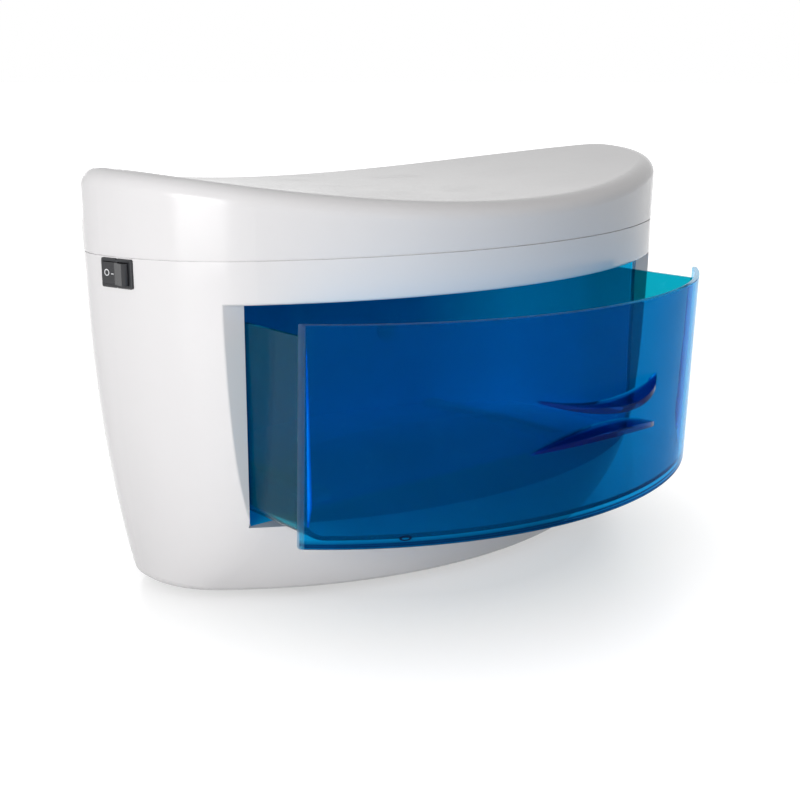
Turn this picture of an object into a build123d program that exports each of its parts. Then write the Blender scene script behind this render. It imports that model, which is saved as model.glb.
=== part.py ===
"""Desktop ultraviolet sterilizer case with a pull-out drawer.

Frame: millimetres, +X to the right, the front faces -Y, +Z up.
Origin: midway between the four feet, on the surface that they stand on.
The drawer is modelled part-way out, DRAWER_OUT in front of its closed place.
"""
import os
from math import asin, cos, degrees, radians, sin, sqrt, tan

from build123d import *

# ---------------------------------------------------------------- case shell
CASE_DEPTH = 241.0            # front to back at the seam
SEAM_Z = 188.0                # rim of the housing
SEAM_GAP = 0.6                # open groove between housing and cover
SEAM_STEP = 1.4               # depth of that groove
SHELL = 2.8                   # moulded wall of housing and cover
FOOT_HEIGHT = 2.5             # housing stands this far off the table
FLANK_RADIUS = 790.0          # side view: flank arc, upright at the seam
FRONT_FLARE = 2.8             # power by which the front follows that arc, low down
FLANK_SECTIONS = 6            # plan sections lofted between base and seam
BOTTOM_ROUND = 8.0            # bottom edge of the housing
BASE_RING = 15.0              # inward ring left round the base opening

# Plan outline at the seam: two bows that meet two slanted sides. The meets and the corner
# rounds are shares of the outline's depth.
SIDE_ROOM = 50.2              # drawer side to the widest line of the case
FRONT_MEET = 0.276            # behind the front crest
BACK_MEET = 0.483             # ahead of the back crest
SEAM_SLANT = 12.8
SEAM_CORNERS = (0.407, 0.149) # round at the front meet and at the back meet

# The base outline is drawn in from the seam by these amounts.
BASE_FRONT_IN = 26.6
BASE_BACK_IN = 22.5
BASE_SIDE_IN = 26.0
BASE_FRONT_MEET = 0.393
BASE_BACK_MEET = 0.442
BASE_SLANT = 1.3
BASE_CORNERS = (0.219, 0.146)

# ---------------------------------------------------------------- top cover
SADDLE_Z = 212.5              # lowest line of the saddle top
SADDLE_RADIUS = 950.0         # saddle arc, rising to both sides
COVER_FLARE = 1.5             # cover wall leans out this much over its height
CREST_ROUND = 9.0             # round between cover wall and top
LIP_DEPTH = 5.0               # locating lip below the seam
LIP_WALL = 1.6
LIP_ROOT = 2.0                # lip flange starts this far inside the wall's face
LIP_CLEARANCE = 0.25

# ---------------------------------------------------------------- recess and mouth
RECESS_DEPTH = 50.5           # front crest to the upright face that the drawer passes through
SILL_Z = 46.6                 # sill below the mouth
OVERHANG_Z = 165.9            # underside of the overhang
MOUTH_GAP = 0.6               # mouth to the drawer front, each side
EDGE_ROUND = 1.4              # soft edge of recess and overhang

# ---------------------------------------------------------------- drawer
DRAWER_OUT = 59.2             # drawer is this far out from closed
PANEL_OVER = 0.6              # front reaches past the tub, each side
PANEL_SAGITTA = 60.0          # bow of the front over its width
PANEL_WALL = 3.0
PANEL_FLUSH = 0.2             # closed front stands this far behind the overhang
PANEL_TOP = 162.3
PANEL_LOW = 47.3
PANEL_LEAN = 4.4              # top edge leans forward by this much
PANEL_EDGE = 1.1              # rounded rim of the panel
TUB_HALF = 151.0              # half width at the top rim
TUB_WALL = 2.2
TUB_FLOOR = 2.5
TUB_TOP = 155.6
TUB_LOW = 51.5
TUB_DRAFT = 0.6               # side walls lean out, in degrees
TUB_BACK_BOW = 218.0          # bowed back wall
CLOSED_ROOM = 28.0            # closed tub to the back crest of the case
TUB_CORNER = 12.0             # upright back corners
TUB_BOTTOM_ROUND = 9.0        # outer round between floor and walls
WELD_GAP = 0.1                # bond line between tub and front panel
STOP_TAB = (6.0, 6.0)         # tab on the back rim: wide, along
STOP_CATCH = 2.2              # tab overlaps the overhang by this height

# pull: two leaf-shaped ribs on the drawer front
PULL_HALF = 49.0
PULL_ROOT = (6.0, 2.0)        # rib ends are rooted this far in, and this deep
PULL_REACH = 15.5             # ribs stand out this far in the middle
PULL_Z = 104.7                 # middle height between the ribs
PULL_MID_GAP = 8.5            # clear gap in the middle
PULL_TIP_GAP = 27.0           # gap at the tips
PULL_MID_THICK = 3.6
PULL_TIP_THICK = 1.4

# ---------------------------------------------------------------- chamber
SLIDE_CLEARANCE = 0.3         # running gap of the drawer
CHAMBER_WALL = 1.4
CHAMBER_SIDE_GAP = 0.8        # tub to chamber side
CHAMBER_BACK_GAP = 3.6        # closed tub to chamber back, filled by buffers
STRIP = (10.0, 130.0)         # slide strip: wide, long
STRIP_IN = 55.0               # strips stand this far inside the tub's sides
BUFFER_RADIUS = 6.0

# ---------------------------------------------------------------- lamp deck
DECK_THICK = 2.0
DECK_CLEARANCE = 0.5
LAMP_RADIUS = 7.75            # T5 tube
LAMP_IN = 7.0                 # end cap's face inside the tub's side
LAMP_CAP = 9.0
LAMP_RISE = 12.6              # axis of the lamp above the deck
LAMP_WALL = 0.9
LAMP_PIN_RADIUS = 1.15
LAMP_PIN_PITCH = 4.75
LAMP_PIN_LENGTH = 7.0
WINDOW_IN = 12.0              # window ends inside the lamp's
WINDOW_WIDE = 50.0            # lamp window, front to back
REFLECTOR_RADIUS = 21.0
REFLECTOR_WALL = 0.8
REFLECTOR_FLANGE = 7.0
HOLDER = (11.0, 20.0, 23.0)   # lamp holder: thick, wide, high
GUARD_WIRE = 0.8              # wire radius
GUARD_PITCH = 33.0

# ---------------------------------------------------------------- electrical gear
BALLAST = (78.0, 34.0, 27.0)
COIL_END = 6.0                # coil stands out of each end of the core
BALLAST_FOOT = 14.0           # ear at each end of the ballast frame
BALLAST_AT = (-78.0, 53.0)
STARTER_RADIUS = 10.75
STARTER_LENGTH = 34.0
STARTER_AT = (62.0, -52.0)
SOCKET = (12.0, 26.0, 27.0)
TERMINAL = (42.0, 17.0, 15.0)
TERMINAL_AT = (40.0, 62.0)
TERMINAL_WAYS = 4

# rocker switch on the left side
BEZEL = (21.0, 15.0, 1.7)     # long, high, proud
BEZEL_DROP = 0.5              # top of the bezel below the seam
SWITCH_Y = -22.0              # middle of the switch
SWITCH_CUP = (19.2, 13.2, 11.0)
CUP_WALL = 0.7
ROCKER_RADIUS = 8.6           # ends swing on this radius
ROCKER_HALF_TURN = 10.0       # either side of the middle
ROCKER_PIVOT = -1.0           # pivot behind the bezel face
ROCKER_VALLEY = 0.8           # middle of the face stands this far out
ROCKER_DEEP = 4.6             # rocker reaches this far behind its pivot
ROCKER_GAP = 0.3
PIVOT_PIN = 0.9
PIVOT_FIT = 0.06
BLADE = (0.8, 4.8, 9.0)       # terminal blade: thick, high, long

# power inlet at the back
INLET_X = -45.0
INLET_DROP = 9.0              # middle of the inlet below the seam
INLET_FLANGE = (25.0, 14.5, 1.4)
INLET_BODY = (20.0, 12.4, 17.0)
INLET_HOLE = (15.4, 7.6, 12.5)
INLET_PIN_RADIUS = 1.2
INLET_PIN_PITCH = 8.6
INLET_PIN_LENGTH = 10.0

# ---------------------------------------------------------------- base and fixings
BASE_THICK = 2.6
BASE_CLEARANCE = 0.35
FOOT_RADIUS = 7.5
FOOT_POCKET = 1.1
FOOT_IN = (75.2, 54.0)        # middle of a foot, in from the side and back of the base
BOSS_RADIUS = 4.2
BOSS_IN = (64.2, 70.0)        # middle of a screw boss, in from the same
RIB = 2.4
SCREW_RADIUS = 1.5            # thread, drawn at its outer size
SCREW_FIT = 0.05
SCREW_HEAD = (3.0, 2.0)       # radius, height of the pan head
SCREW_LENGTH = 9.0
VENT = (2.6, 12.0)            # slot: wide, high
VENT_PITCH = 7.0
VENT_COUNT = 11

DECK_SCREW_IN = 23.2          # deck screws stand on the side ribs, in from the case's side
DECK_BOSS = 14.0
BACK_RIB_X = 60.0
SCREW_SINK = 0.4              # pan head stands out of its seat by this much
COVER_SCREW_X = 95.0
LUG_DEEP = 7.0                # cover lug, front to back
COVER_SCREW_DROP = 9.0        # cover screws below the seam
VENT_RISE = 9.5               # middle of the vents above the seam
STRIP_START = 7.0             # strips begin this far behind the front wall
BUFFER_RISE = 55.0            # buffers above the chamber floor
BUFFER_SEAT = 0.1             # glue line behind the buffers
BUFFER_TURN = 18.0            # buffers sit this far round the bowed back
LAMP_Y = -10.0
FRAME = 1.0                   # sheet of the ballast frame
STARTER_LIFT = 1.2
INLET_SEAT = 1.0              # flat seat sunk into the bowed back

FAR = 600.0                   # longer than anything in the case

# ---------------------------------------------------------------- worked out
PANEL_HALF = TUB_HALF + PANEL_OVER
MOUTH_HALF = PANEL_HALF + MOUTH_GAP
CASE_HALF = TUB_HALF + SIDE_ROOM
CASE_FRONT = -CASE_DEPTH / 2
CASE_BACK = CASE_DEPTH / 2
RECESS_Y = CASE_FRONT + RECESS_DEPTH
BASE_DEPTH = CASE_DEPTH - BASE_FRONT_IN - BASE_BACK_IN
BASE_FRONT = CASE_FRONT + BASE_FRONT_IN
BASE_BACK = CASE_BACK - BASE_BACK_IN
SEAM_PLAN = dict(front=CASE_FRONT, front_meet=CASE_FRONT + FRONT_MEET * CASE_DEPTH,
                 front_corner=SEAM_CORNERS[0] * CASE_DEPTH, half_width=CASE_HALF,
                 slant=SEAM_SLANT, back_corner=SEAM_CORNERS[1] * CASE_DEPTH,
                 back_meet=CASE_BACK - BACK_MEET * CASE_DEPTH, back=CASE_BACK)
BASE_PLAN = dict(front=BASE_FRONT, front_meet=BASE_FRONT + BASE_FRONT_MEET * BASE_DEPTH,
                 front_corner=BASE_CORNERS[0] * BASE_DEPTH, half_width=CASE_HALF - BASE_SIDE_IN,
                 slant=BASE_SLANT, back_corner=BASE_CORNERS[1] * BASE_DEPTH,
                 back_meet=BASE_BACK - BASE_BACK_MEET * BASE_DEPTH, back=BASE_BACK)
FRONT_KEYS = ("front", "front_meet", "front_corner")
CHAMBER_FLOOR_Z = SILL_Z - SLIDE_CLEARANCE
DECK_Z = OVERHANG_Z + SHELL
DECK_TOP = DECK_Z + DECK_THICK
COVER_LOW = SEAM_Z + SEAM_GAP
LAMP_Z = DECK_TOP + LAMP_RISE
INLET_Z = SEAM_Z - INLET_DROP
COVER_SCREW_Z = SEAM_Z - COVER_SCREW_DROP
VENT_Z = SEAM_Z + VENT_RISE
BUFFER_Z = CHAMBER_FLOOR_Z + BUFFER_RISE
PANEL_BOW = (PANEL_HALF ** 2 + PANEL_SAGITTA ** 2) / (2 * PANEL_SAGITTA)
PANEL_FRONT = SEAM_PLAN["front"] + PANEL_FLUSH - DRAWER_OUT
TUB_BACK = CASE_BACK - CLOSED_ROOM - DRAWER_OUT + PANEL_FLUSH
STRIP_X = TUB_HALF - STRIP_IN
LAMP_LENGTH = 2 * (TUB_HALF - LAMP_IN)
WINDOW = (LAMP_LENGTH - 2 * WINDOW_IN, WINDOW_WIDE)
DECK_SCREW_X = CASE_HALF - DECK_SCREW_IN
FOOT_AT = (BASE_PLAN["half_width"] - FOOT_IN[0], BASE_PLAN["back"] - FOOT_IN[1])
BOSS_AT = (BASE_PLAN["half_width"] - BOSS_IN[0], BASE_PLAN["back"] - BOSS_IN[1])
CHAMBER_BACK = TUB_BACK + DRAWER_OUT + CHAMBER_BACK_GAP
CHAMBER_FRONT = RECESS_Y + SHELL
CHAMBER_HALF = TUB_HALF + CHAMBER_SIDE_GAP
STOP_TAB_X = WINDOW[0] / 2 + STOP_TAB[0]
STOP_TAB_Y = TUB_BACK - TUB_BACK_BOW + sqrt(TUB_BACK_BOW ** 2 - STOP_TAB_X ** 2) - STOP_TAB[1]
FLANK_DEPTH = FLANK_RADIUS - sqrt(FLANK_RADIUS ** 2 - SEAM_Z ** 2)
EPS = 0.01


def box(x_range, y_range, z_range):
    """Block between two corners."""
    size = [high - low for low, high in (x_range, y_range, z_range)]
    middle = [(high + low) / 2 for low, high in (x_range, y_range, z_range)]
    return Pos(*middle) * Box(*size)


def rod(start, end, radius):
    """Round bar between two points."""
    axis = Vector(*end) - Vector(*start)
    return extrude(Plane(origin=start, z_dir=axis) * Circle(radius), axis.length)


# ---------------------------------------------------------------- shell outlines
def bow_radius(plan, end):
    """Radius of a bow that runs from its crest to where it meets the slanted side."""
    meet = plan[f"{end}_meet"]
    half = plan["half_width"] + meet * tan(radians(plan["slant"]))
    rise = abs(plan[end] - meet)
    return (half ** 2 + rise ** 2) / (2 * rise)


def corner_points(plan, end, inset):
    """Start, middle and end of the right-hand corner arc from a bow to the slanted side."""
    bow, radius = bow_radius(plan, end), plan[f"{end}_corner"]
    toward = 1 if end == "back" else -1
    slant = radians(plan["slant"])
    out = Vector(cos(slant), -sin(slant))
    along = Vector(sin(slant), cos(slant))
    middle = Vector(0, plan[end] - toward * bow)
    start = Vector(plan["half_width"], 0) - out * radius - middle
    reach = start.dot(along)
    root = sqrt((bow - radius) ** 2 - start.dot(start) + reach ** 2)
    centre = middle + start + along * (toward * root - reach)
    ray = (centre - middle).normalized()
    turn = (ray + out).normalized()
    return [centre + direction * (radius - inset) for direction in (ray, turn, out)]


def outline(plan, inset=0.0):
    """Face inside two bows and two slanted sides, with rounded corners."""
    front = corner_points(plan, "front", inset)
    back = corner_points(plan, "back", inset)
    right = [ThreePointArc(*front), Line(front[2], back[2]), ThreePointArc(*back)]
    left = [mirror(edge, Plane.YZ) for edge in right]
    front_bow = ThreePointArc(front[0], (0, plan["front"] + inset), (-front[0].X, front[0].Y))
    back_bow = ThreePointArc(back[0], (0, plan["back"] - inset), (-back[0].X, back[0].Y))
    return make_face([front_bow, back_bow] + right + left)


def flank_plan(z):
    """Plan sizes at a height: the flank arc carries the seam plan to the base plan."""
    depth = FLANK_RADIUS - sqrt(FLANK_RADIUS ** 2 - (SEAM_Z - z) ** 2)
    share = depth / FLANK_DEPTH
    plan = {}
    for key, at_seam in SEAM_PLAN.items():
        part = share ** FRONT_FLARE if key in FRONT_KEYS else share
        plan[key] = at_seam + part * (BASE_PLAN[key] - at_seam)
    return plan


def flank_body(low, inset=0.0):
    """Housing form from a height up to the seam, pulled in by inset."""
    step = (SEAM_Z - low) / (FLANK_SECTIONS - 1)
    levels = [low + step * index for index in range(FLANK_SECTIONS)]
    return loft([Pos(0, 0, z) * outline(flank_plan(z), inset) for z in levels])


def ring(plan, outer, inner, low, high):
    """Band that follows a plan outline between two insets."""
    band = outline(plan, outer) - outline(plan, inner)
    return extrude(Pos(0, 0, low) * band, high - low)


def side_seat():
    """Plane of the switch: local x to the front, y up, z out of the left side."""
    half = BEZEL[0] / 2
    ends = [Vector(left_edge(y), y) for y in (SWITCH_Y - half, SWITCH_Y + half)]
    along = (ends[0] - ends[1]).normalized()
    out = along.cross(Vector(0, 0, 1))
    middle = (ends[0] + ends[1]) * 0.5
    level = SEAM_Z - BEZEL_DROP - BEZEL[1] / 2
    return Plane(origin=(middle.X, middle.Y, level), x_dir=along, z_dir=out)


def left_edge(y):
    """Where the seam outline lies on the left at this y."""
    return (outline(SEAM_PLAN) & Line((-FAR / 2, y), (0, y))).bounding_box().min.X


def back_seat(x, z):
    """Plane on the bowed back of the housing: local x to the left, y up, z out."""
    plan = flank_plan(z)
    bow = bow_radius(plan, "back")
    turn = degrees(asin(x / bow))
    out = Vector(0, 1, 0).rotate(Axis.Z, -turn)
    origin = Vector(0, plan["back"] - bow, z) + out * bow
    return Plane(origin=origin, x_dir=Vector(0, 0, 1).cross(out), z_dir=out)


# ---------------------------------------------------------------- housing
def recess():
    """Space in front of the mouth, under the overhang."""
    return box((-FAR, FAR), (-FAR, RECESS_Y), (SILL_Z, OVERHANG_Z))


def housing_ribs():
    """Ribs and bosses that carry the chamber, the lamp deck and the base plate."""
    chamber_side = CHAMBER_HALF + CHAMBER_WALL + SLIDE_CLEARANCE
    chamber_back = CHAMBER_BACK + CHAMBER_WALL + SLIDE_CLEARANCE
    chamber_low = CHAMBER_FLOOR_Z - CHAMBER_WALL
    base_top = FOOT_HEIGHT + BASE_THICK
    rib_low = base_top + RIB + BASE_CLEARANCE
    parts = []
    for side in (-1, 1):
        for y in (-BOSS_AT[1], BOSS_AT[1]):
            x_ends = sorted((side * BOSS_AT[0], side * FAR))
            x_high = sorted((side * chamber_side, side * FAR))
            across = (y - RIB / 2, y + RIB / 2)
            parts.append(box(x_ends, across, (rib_low, chamber_low)))
            parts.append(box(x_high, across, (rib_low, DECK_Z)))
            parts.append(rod((side * BOSS_AT[0], y, base_top), (side * BOSS_AT[0], y, chamber_low),
                             BOSS_RADIUS))
            parts.append(rod((side * DECK_SCREW_X, y, DECK_Z - DECK_BOSS), (side * DECK_SCREW_X, y, DECK_Z),
                             BOSS_RADIUS))
        across = (side * BACK_RIB_X - RIB / 2, side * BACK_RIB_X + RIB / 2)
        parts.append(box(across, (chamber_back, FAR), (rib_low, DECK_Z)))
    return parts


def main_housing():
    """Flared hull with the recess and mouth at the front, open at the top."""
    form = flank_body(FOOT_HEIGHT)
    form = fillet(form.faces().sort_by(Axis.Z)[0].edges(), BOTTOM_ROUND)
    inside = flank_body(FOOT_HEIGHT + SHELL, SHELL)
    kept = box((-FAR, FAR), (-FAR, RECESS_Y + SHELL), (SILL_Z - SHELL, OVERHANG_Z + SHELL))
    body = form - recess()
    body = soften_recess(body)
    body -= inside - kept
    body -= box((-MOUTH_HALF, MOUTH_HALF), (RECESS_Y - SHELL, RECESS_Y + SHELL + EPS),
                (SILL_Z, OVERHANG_Z))
    ribs = [rib & inside for rib in housing_ribs()]
    body += ribs
    base_hole = extrude(Pos(0, 0, 0) * outline(BASE_PLAN, BASE_RING), FOOT_HEIGHT + SHELL + EPS)
    body -= base_hole - box((-FAR, FAR), (-FAR, FAR), (FOOT_HEIGHT + SHELL, FAR))
    body -= side_seat() * switch_hole()
    body -= back_seat(INLET_X, INLET_Z) * inlet_hole()
    for x in (-COVER_SCREW_X, COVER_SCREW_X):
        body -= back_seat(x, COVER_SCREW_Z) * flat_seat()
    for x, y in corners(*BOSS_AT):
        body -= Pos(x, y, FOOT_HEIGHT) * pan_screw(SCREW_FIT)
    for x, y in corners(DECK_SCREW_X, BOSS_AT[1]):
        body -= Pos(x, y, DECK_TOP) * Rot(180, 0, 0) * pan_screw(SCREW_FIT)
    return body


def soften_recess(body):
    """Round the outer edges of the overhang and the side strips."""
    planes = body.faces().filter_by(GeomType.PLANE)
    walls = [face for face in planes if abs(face.center().Z - OVERHANG_Z) < EPS
             or abs(face.center().Y - RECESS_Y) < EPS]
    rims = [edge for face in walls for edge in face.edges() if edge.geom_type != GeomType.LINE]
    return fillet(rims, EDGE_ROUND)


def corners(x, y):
    """Four places, one in each quarter."""
    return [(sx * x, sy * y) for sx in (-1, 1) for sy in (-1, 1)]


def base_plate():
    """Cover under the case, with foot pockets and sunk screw seats."""
    plan = outline(BASE_PLAN, BASE_RING + BASE_CLEARANCE)
    plate = extrude(Pos(0, 0, FOOT_HEIGHT) * plan, BASE_THICK)
    for x, y in corners(*FOOT_AT):
        plate -= rod((x, y, 0), (x, y, FOOT_HEIGHT + FOOT_POCKET), FOOT_RADIUS)
    for x, y in corners(*BOSS_AT):
        plate -= Pos(x, y, FOOT_HEIGHT) * pan_screw(SCREW_FIT)
    rim = outline(BASE_PLAN, BASE_RING + 3 * RIB) - outline(BASE_PLAN, BASE_RING + 4 * RIB)
    return plate + extrude(Pos(0, 0, FOOT_HEIGHT + BASE_THICK) * rim, RIB)


def feet():
    """Four rubber pads seated in the base plate."""
    foot = Cylinder(FOOT_RADIUS, FOOT_HEIGHT + FOOT_POCKET, align=(Align.CENTER, Align.CENTER, Align.MIN))
    foot = fillet(foot.edges().sort_by(Axis.Z)[0], 0.8)
    return Compound([Pos(x, y, 0) * foot for x, y in corners(*FOOT_AT)])


# ---------------------------------------------------------------- screws
def pan_screw(grow=0.0):
    """Pan head at z 0 reaching up, head sunk by its height."""
    radius, high = SCREW_HEAD
    head = rod((0, 0, -SCREW_SINK), (0, 0, high - SCREW_SINK), radius + 4 * grow)
    return head + rod((0, 0, 0), (0, 0, SCREW_LENGTH), SCREW_RADIUS + grow)


def flat_screw(grow=0.0):
    """Countersunk screw, head flush at z 0, going inwards."""
    radius = SCREW_HEAD[0] + grow
    cone = Pos(0, 0, -SCREW_HEAD[1] / 2) * Cone(SCREW_RADIUS + grow, radius, SCREW_HEAD[1])
    return cone + rod((0, 0, -SCREW_HEAD[1]), (0, 0, -SCREW_LENGTH), SCREW_RADIUS + grow)


def flat_seat():
    """Hole for a countersunk screw, open to the outside."""
    return flat_screw(SCREW_FIT) + rod((0, 0, -SCREW_FIT), (0, 0, SHELL), SCREW_HEAD[0] + SCREW_FIT)


def base_screws():
    return Compound([Pos(x, y, FOOT_HEIGHT) * pan_screw() for x, y in corners(*BOSS_AT)])


def deck_screws():
    return Compound([Pos(x, y, DECK_TOP) * Rot(180, 0, 0) * pan_screw()
                     for x, y in corners(DECK_SCREW_X, BOSS_AT[1])])


def cover_screws():
    return Compound([back_seat(x, COVER_SCREW_Z) * flat_screw()
                     for x in (-COVER_SCREW_X, COVER_SCREW_X)])


# ---------------------------------------------------------------- top cover
def saddle_block(inset, low):
    """Cover form below the saddle surface, pulled in by inset."""
    high = SADDLE_Z + SEAM_PLAN["half_width"] ** 2 / SADDLE_RADIUS
    walls = loft([Pos(0, 0, low) * outline(SEAM_PLAN, inset),
                  Pos(0, 0, high) * outline(SEAM_PLAN, inset - COVER_FLARE)])
    radius = SADDLE_RADIUS + inset
    return walls - Pos(0, 0, SADDLE_Z + SADDLE_RADIUS) * Rot(90, 0, 0) * Cylinder(radius, FAR)


def top_cover():
    """Saddle-topped cover with a locating lip, back vents and screw lugs."""
    form = saddle_block(0.0, SEAM_Z)
    top = form.faces().sort_by(Axis.Z)[-1]
    form = fillet(top.edges(), CREST_ROUND)
    hollow = saddle_block(SHELL, SEAM_Z)
    hollow = fillet(hollow.faces().sort_by(Axis.Z)[-1].edges(), CREST_ROUND - SHELL)
    cover = form - hollow
    lip_out = SHELL + LIP_CLEARANCE
    lip_in = lip_out + LIP_WALL
    lip = ring(SEAM_PLAN, lip_out, lip_in, SEAM_Z - LIP_DEPTH, SEAM_Z + LIP_WALL)
    lip += ring(SEAM_PLAN, LIP_ROOT, lip_in, SEAM_Z, SEAM_Z + LIP_WALL)
    room = 1.0
    lip -= side_seat() * Box(SWITCH_CUP[0] + room, SWITCH_CUP[1] + 2 * LIP_DEPTH, 2 * SWITCH_CUP[2])
    lip -= back_seat(INLET_X, INLET_Z) * Box(INLET_BODY[0] + room, FAR, 2 * INLET_BODY[2])
    cover += lip
    cover -= ring(SEAM_PLAN, -SHELL, SEAM_STEP, SEAM_Z - EPS, COVER_LOW)
    for x in (-COVER_SCREW_X, COVER_SCREW_X):
        cover += back_seat(x, COVER_SCREW_Z) * cover_lug()
        cover -= back_seat(x, COVER_SCREW_Z) * flat_seat()
    return cover - vents()


def cover_lug():
    """Block that hangs from the lip and takes a cover screw."""
    front = -SHELL - LIP_CLEARANCE - LIP_WALL / 2
    high = SEAM_Z + LIP_WALL / 2 - COVER_SCREW_Z
    return box((-BOSS_RADIUS, BOSS_RADIUS), (-BOSS_RADIUS, high), (front - LUG_DEEP, front))


def vents():
    """Row of upright slots through the cover's back wall."""
    first = -VENT_PITCH * (VENT_COUNT - 1) / 2
    slot = Rot(90, 0, 0) * extrude(SlotOverall(VENT[1], VENT[0], rotation=90), FAR / 2, both=True)
    row = []
    for index in range(VENT_COUNT):
        x = first + index * VENT_PITCH
        row.append(Pos(x, CASE_DEPTH / 2 + FAR / 2 - 2 * SHELL, VENT_Z) * slot)
    return row


# ---------------------------------------------------------------- chamber
def chamber_plan(grow):
    """Plan of the drawer chamber: straight sides and a bowed back."""
    back = CHAMBER_BACK + grow
    bow = TUB_BACK_BOW + CHAMBER_BACK_GAP + grow
    half = CHAMBER_HALF + grow
    block = Pos(0, back - FAR / 2) * Rectangle(2 * half, FAR)
    face = block & Pos(0, back - bow) * Circle(bow)
    face = fillet(face.vertices().sort_by(Axis.Y)[-2:], TUB_CORNER + grow)
    return face


def drawer_chamber():
    """Thin box that the drawer slides in, open at front and top."""
    low = CHAMBER_FLOOR_Z - CHAMBER_WALL
    front = CHAMBER_FRONT + SLIDE_CLEARANCE
    outer = extrude(Pos(0, 0, low) * chamber_plan(CHAMBER_WALL), DECK_Z - low)
    inner = extrude(Pos(0, 0, CHAMBER_FLOOR_Z) * chamber_plan(0.0), DECK_Z)
    box_wall = (outer - inner) & box((-FAR, FAR), (front, FAR), (0, FAR))
    return box_wall & flank_body(FOOT_HEIGHT + SHELL, SHELL + SLIDE_CLEARANCE)


def slide_strips():
    """Two low-friction strips under the tub."""
    wide, long = STRIP
    front = CHAMBER_FRONT + STRIP_START
    top = TUB_LOW - SLIDE_CLEARANCE
    strip = box((-wide / 2, wide / 2), (front, front + long), (CHAMBER_FLOOR_Z, top))
    strip = chamfer(strip.edges().filter_by(Axis.X).group_by(Axis.Z)[-1], 1.5)
    return Compound([Pos(side * STRIP_X, 0, 0) * strip for side in (-1, 1)])


def buffers():
    """Two soft stops between the closed tub and the chamber's back."""
    centre = CHAMBER_BACK - TUB_BACK_BOW - CHAMBER_BACK_GAP
    start = CHAMBER_BACK - CHAMBER_BACK_GAP + SLIDE_CLEARANCE
    pad = rod((0, start, BUFFER_Z), (0, CHAMBER_BACK - BUFFER_SEAT, BUFFER_Z), BUFFER_RADIUS)
    pad = Pos(0, -centre, 0) * pad
    return Compound([Pos(0, centre, 0) * Rot(0, 0, turn) * pad for turn in (-BUFFER_TURN, BUFFER_TURN)])


# ---------------------------------------------------------------- drawer
def panel_disc(radius, low, high):
    """Leaning round block whose front carries the bow of the panel."""
    rise = high - low
    lean = PANEL_LEAN / (PANEL_TOP - PANEL_LOW)
    front = PANEL_FRONT + lean * (PANEL_TOP - low)
    centre = Pos(0, front + PANEL_BOW, low)
    return extrude(centre * Circle(radius), rise * sqrt(1 + lean ** 2), dir=(0, -lean, 1))


def drawer_front():
    """Bowed front panel with its two pull ribs."""
    outer = panel_disc(PANEL_BOW, PANEL_LOW, PANEL_TOP)
    inner = panel_disc(PANEL_BOW - PANEL_WALL, PANEL_LOW, PANEL_TOP)
    span = box((-PANEL_HALF, PANEL_HALF), (-FAR, PANEL_FRONT + PANEL_SAGITTA + 3 * PANEL_WALL),
               (0, FAR))
    panel = (outer - inner) & span
    panel = fillet(panel.edges().filter_by(lambda edge: edge.length > PANEL_HALF), PANEL_EDGE)
    return panel + [rib - inner for rib in pull_ribs()]


def pull_ribs():
    """Two leaf-shaped ribs, curved towards each other in the middle."""
    lean = PANEL_LEAN / (PANEL_TOP - PANEL_LOW)
    face_y = PANEL_FRONT + lean * (PANEL_TOP - PULL_Z)
    tip_y = face_y + PANEL_BOW - sqrt(PANEL_BOW ** 2 - PULL_HALF ** 2)
    front = ThreePointArc((-PULL_HALF, tip_y), (0, face_y - PULL_REACH), (PULL_HALF, tip_y))
    inner, root = PULL_HALF - PULL_ROOT[0], tip_y + PULL_ROOT[1]
    back = Polyline((PULL_HALF, tip_y), (inner, root), (-inner, root), (-PULL_HALF, tip_y))
    leaf = extrude(make_face(front + back), 2 * PULL_TIP_GAP, both=True)
    low, tip = PULL_MID_GAP / 2, PULL_TIP_GAP / 2
    under = ThreePointArc((-PULL_HALF, tip), (0, low), (PULL_HALF, tip))
    over = ThreePointArc((-PULL_HALF, tip + PULL_TIP_THICK), (0, low + PULL_MID_THICK),
                         (PULL_HALF, tip + PULL_TIP_THICK))
    ends = [Line(under @ end, over @ end) for end in (0, 1)]
    band = make_face(under + over + ends)
    upper = extrude(Plane.XZ * band, FAR, both=True) & leaf
    return [Pos(0, 0, PULL_Z) * rib for rib in (upper, mirror(upper, Plane.XY))]


def tub_form(inset, low):
    """Tub plan lofted with its draft; the front runs on past the panel."""
    def level(z):
        shrink = inset + (TUB_TOP - z) * tan(radians(TUB_DRAFT))
        half, back = TUB_HALF - shrink, TUB_BACK - shrink
        bow = TUB_BACK_BOW - shrink
        face = Pos(0, back - FAR / 2) * Rectangle(2 * half, FAR) & Pos(0, back - bow) * Circle(bow)
        face = fillet(face.vertices().sort_by(Axis.Y)[-2:], TUB_CORNER - inset)
        return Pos(0, 0, z) * face
    return loft([level(low), level(TUB_TOP)])


def drawer_tub():
    """Deep tray behind the front panel, with rounded floor and two stop tabs."""
    outer = tub_form(0.0, TUB_LOW)
    inner = tub_form(TUB_WALL, TUB_LOW + TUB_FLOOR)
    outer = round_floor(outer, TUB_BOTTOM_ROUND)
    inner = round_floor(inner, TUB_BOTTOM_ROUND - TUB_WALL)
    tub = (outer - inner) & panel_disc(PANEL_BOW - PANEL_WALL - WELD_GAP, 0, TUB_TOP)
    tub = tub & box((-FAR, FAR), (-FAR, FAR), (TUB_LOW, TUB_TOP))
    wide, along = STOP_TAB
    for x in (-STOP_TAB_X, STOP_TAB_X):
        tub += box((x - wide / 2, x + wide / 2), (STOP_TAB_Y, STOP_TAB_Y + along),
                   (TUB_TOP - TUB_WALL, OVERHANG_Z + STOP_CATCH))
    return tub


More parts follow.
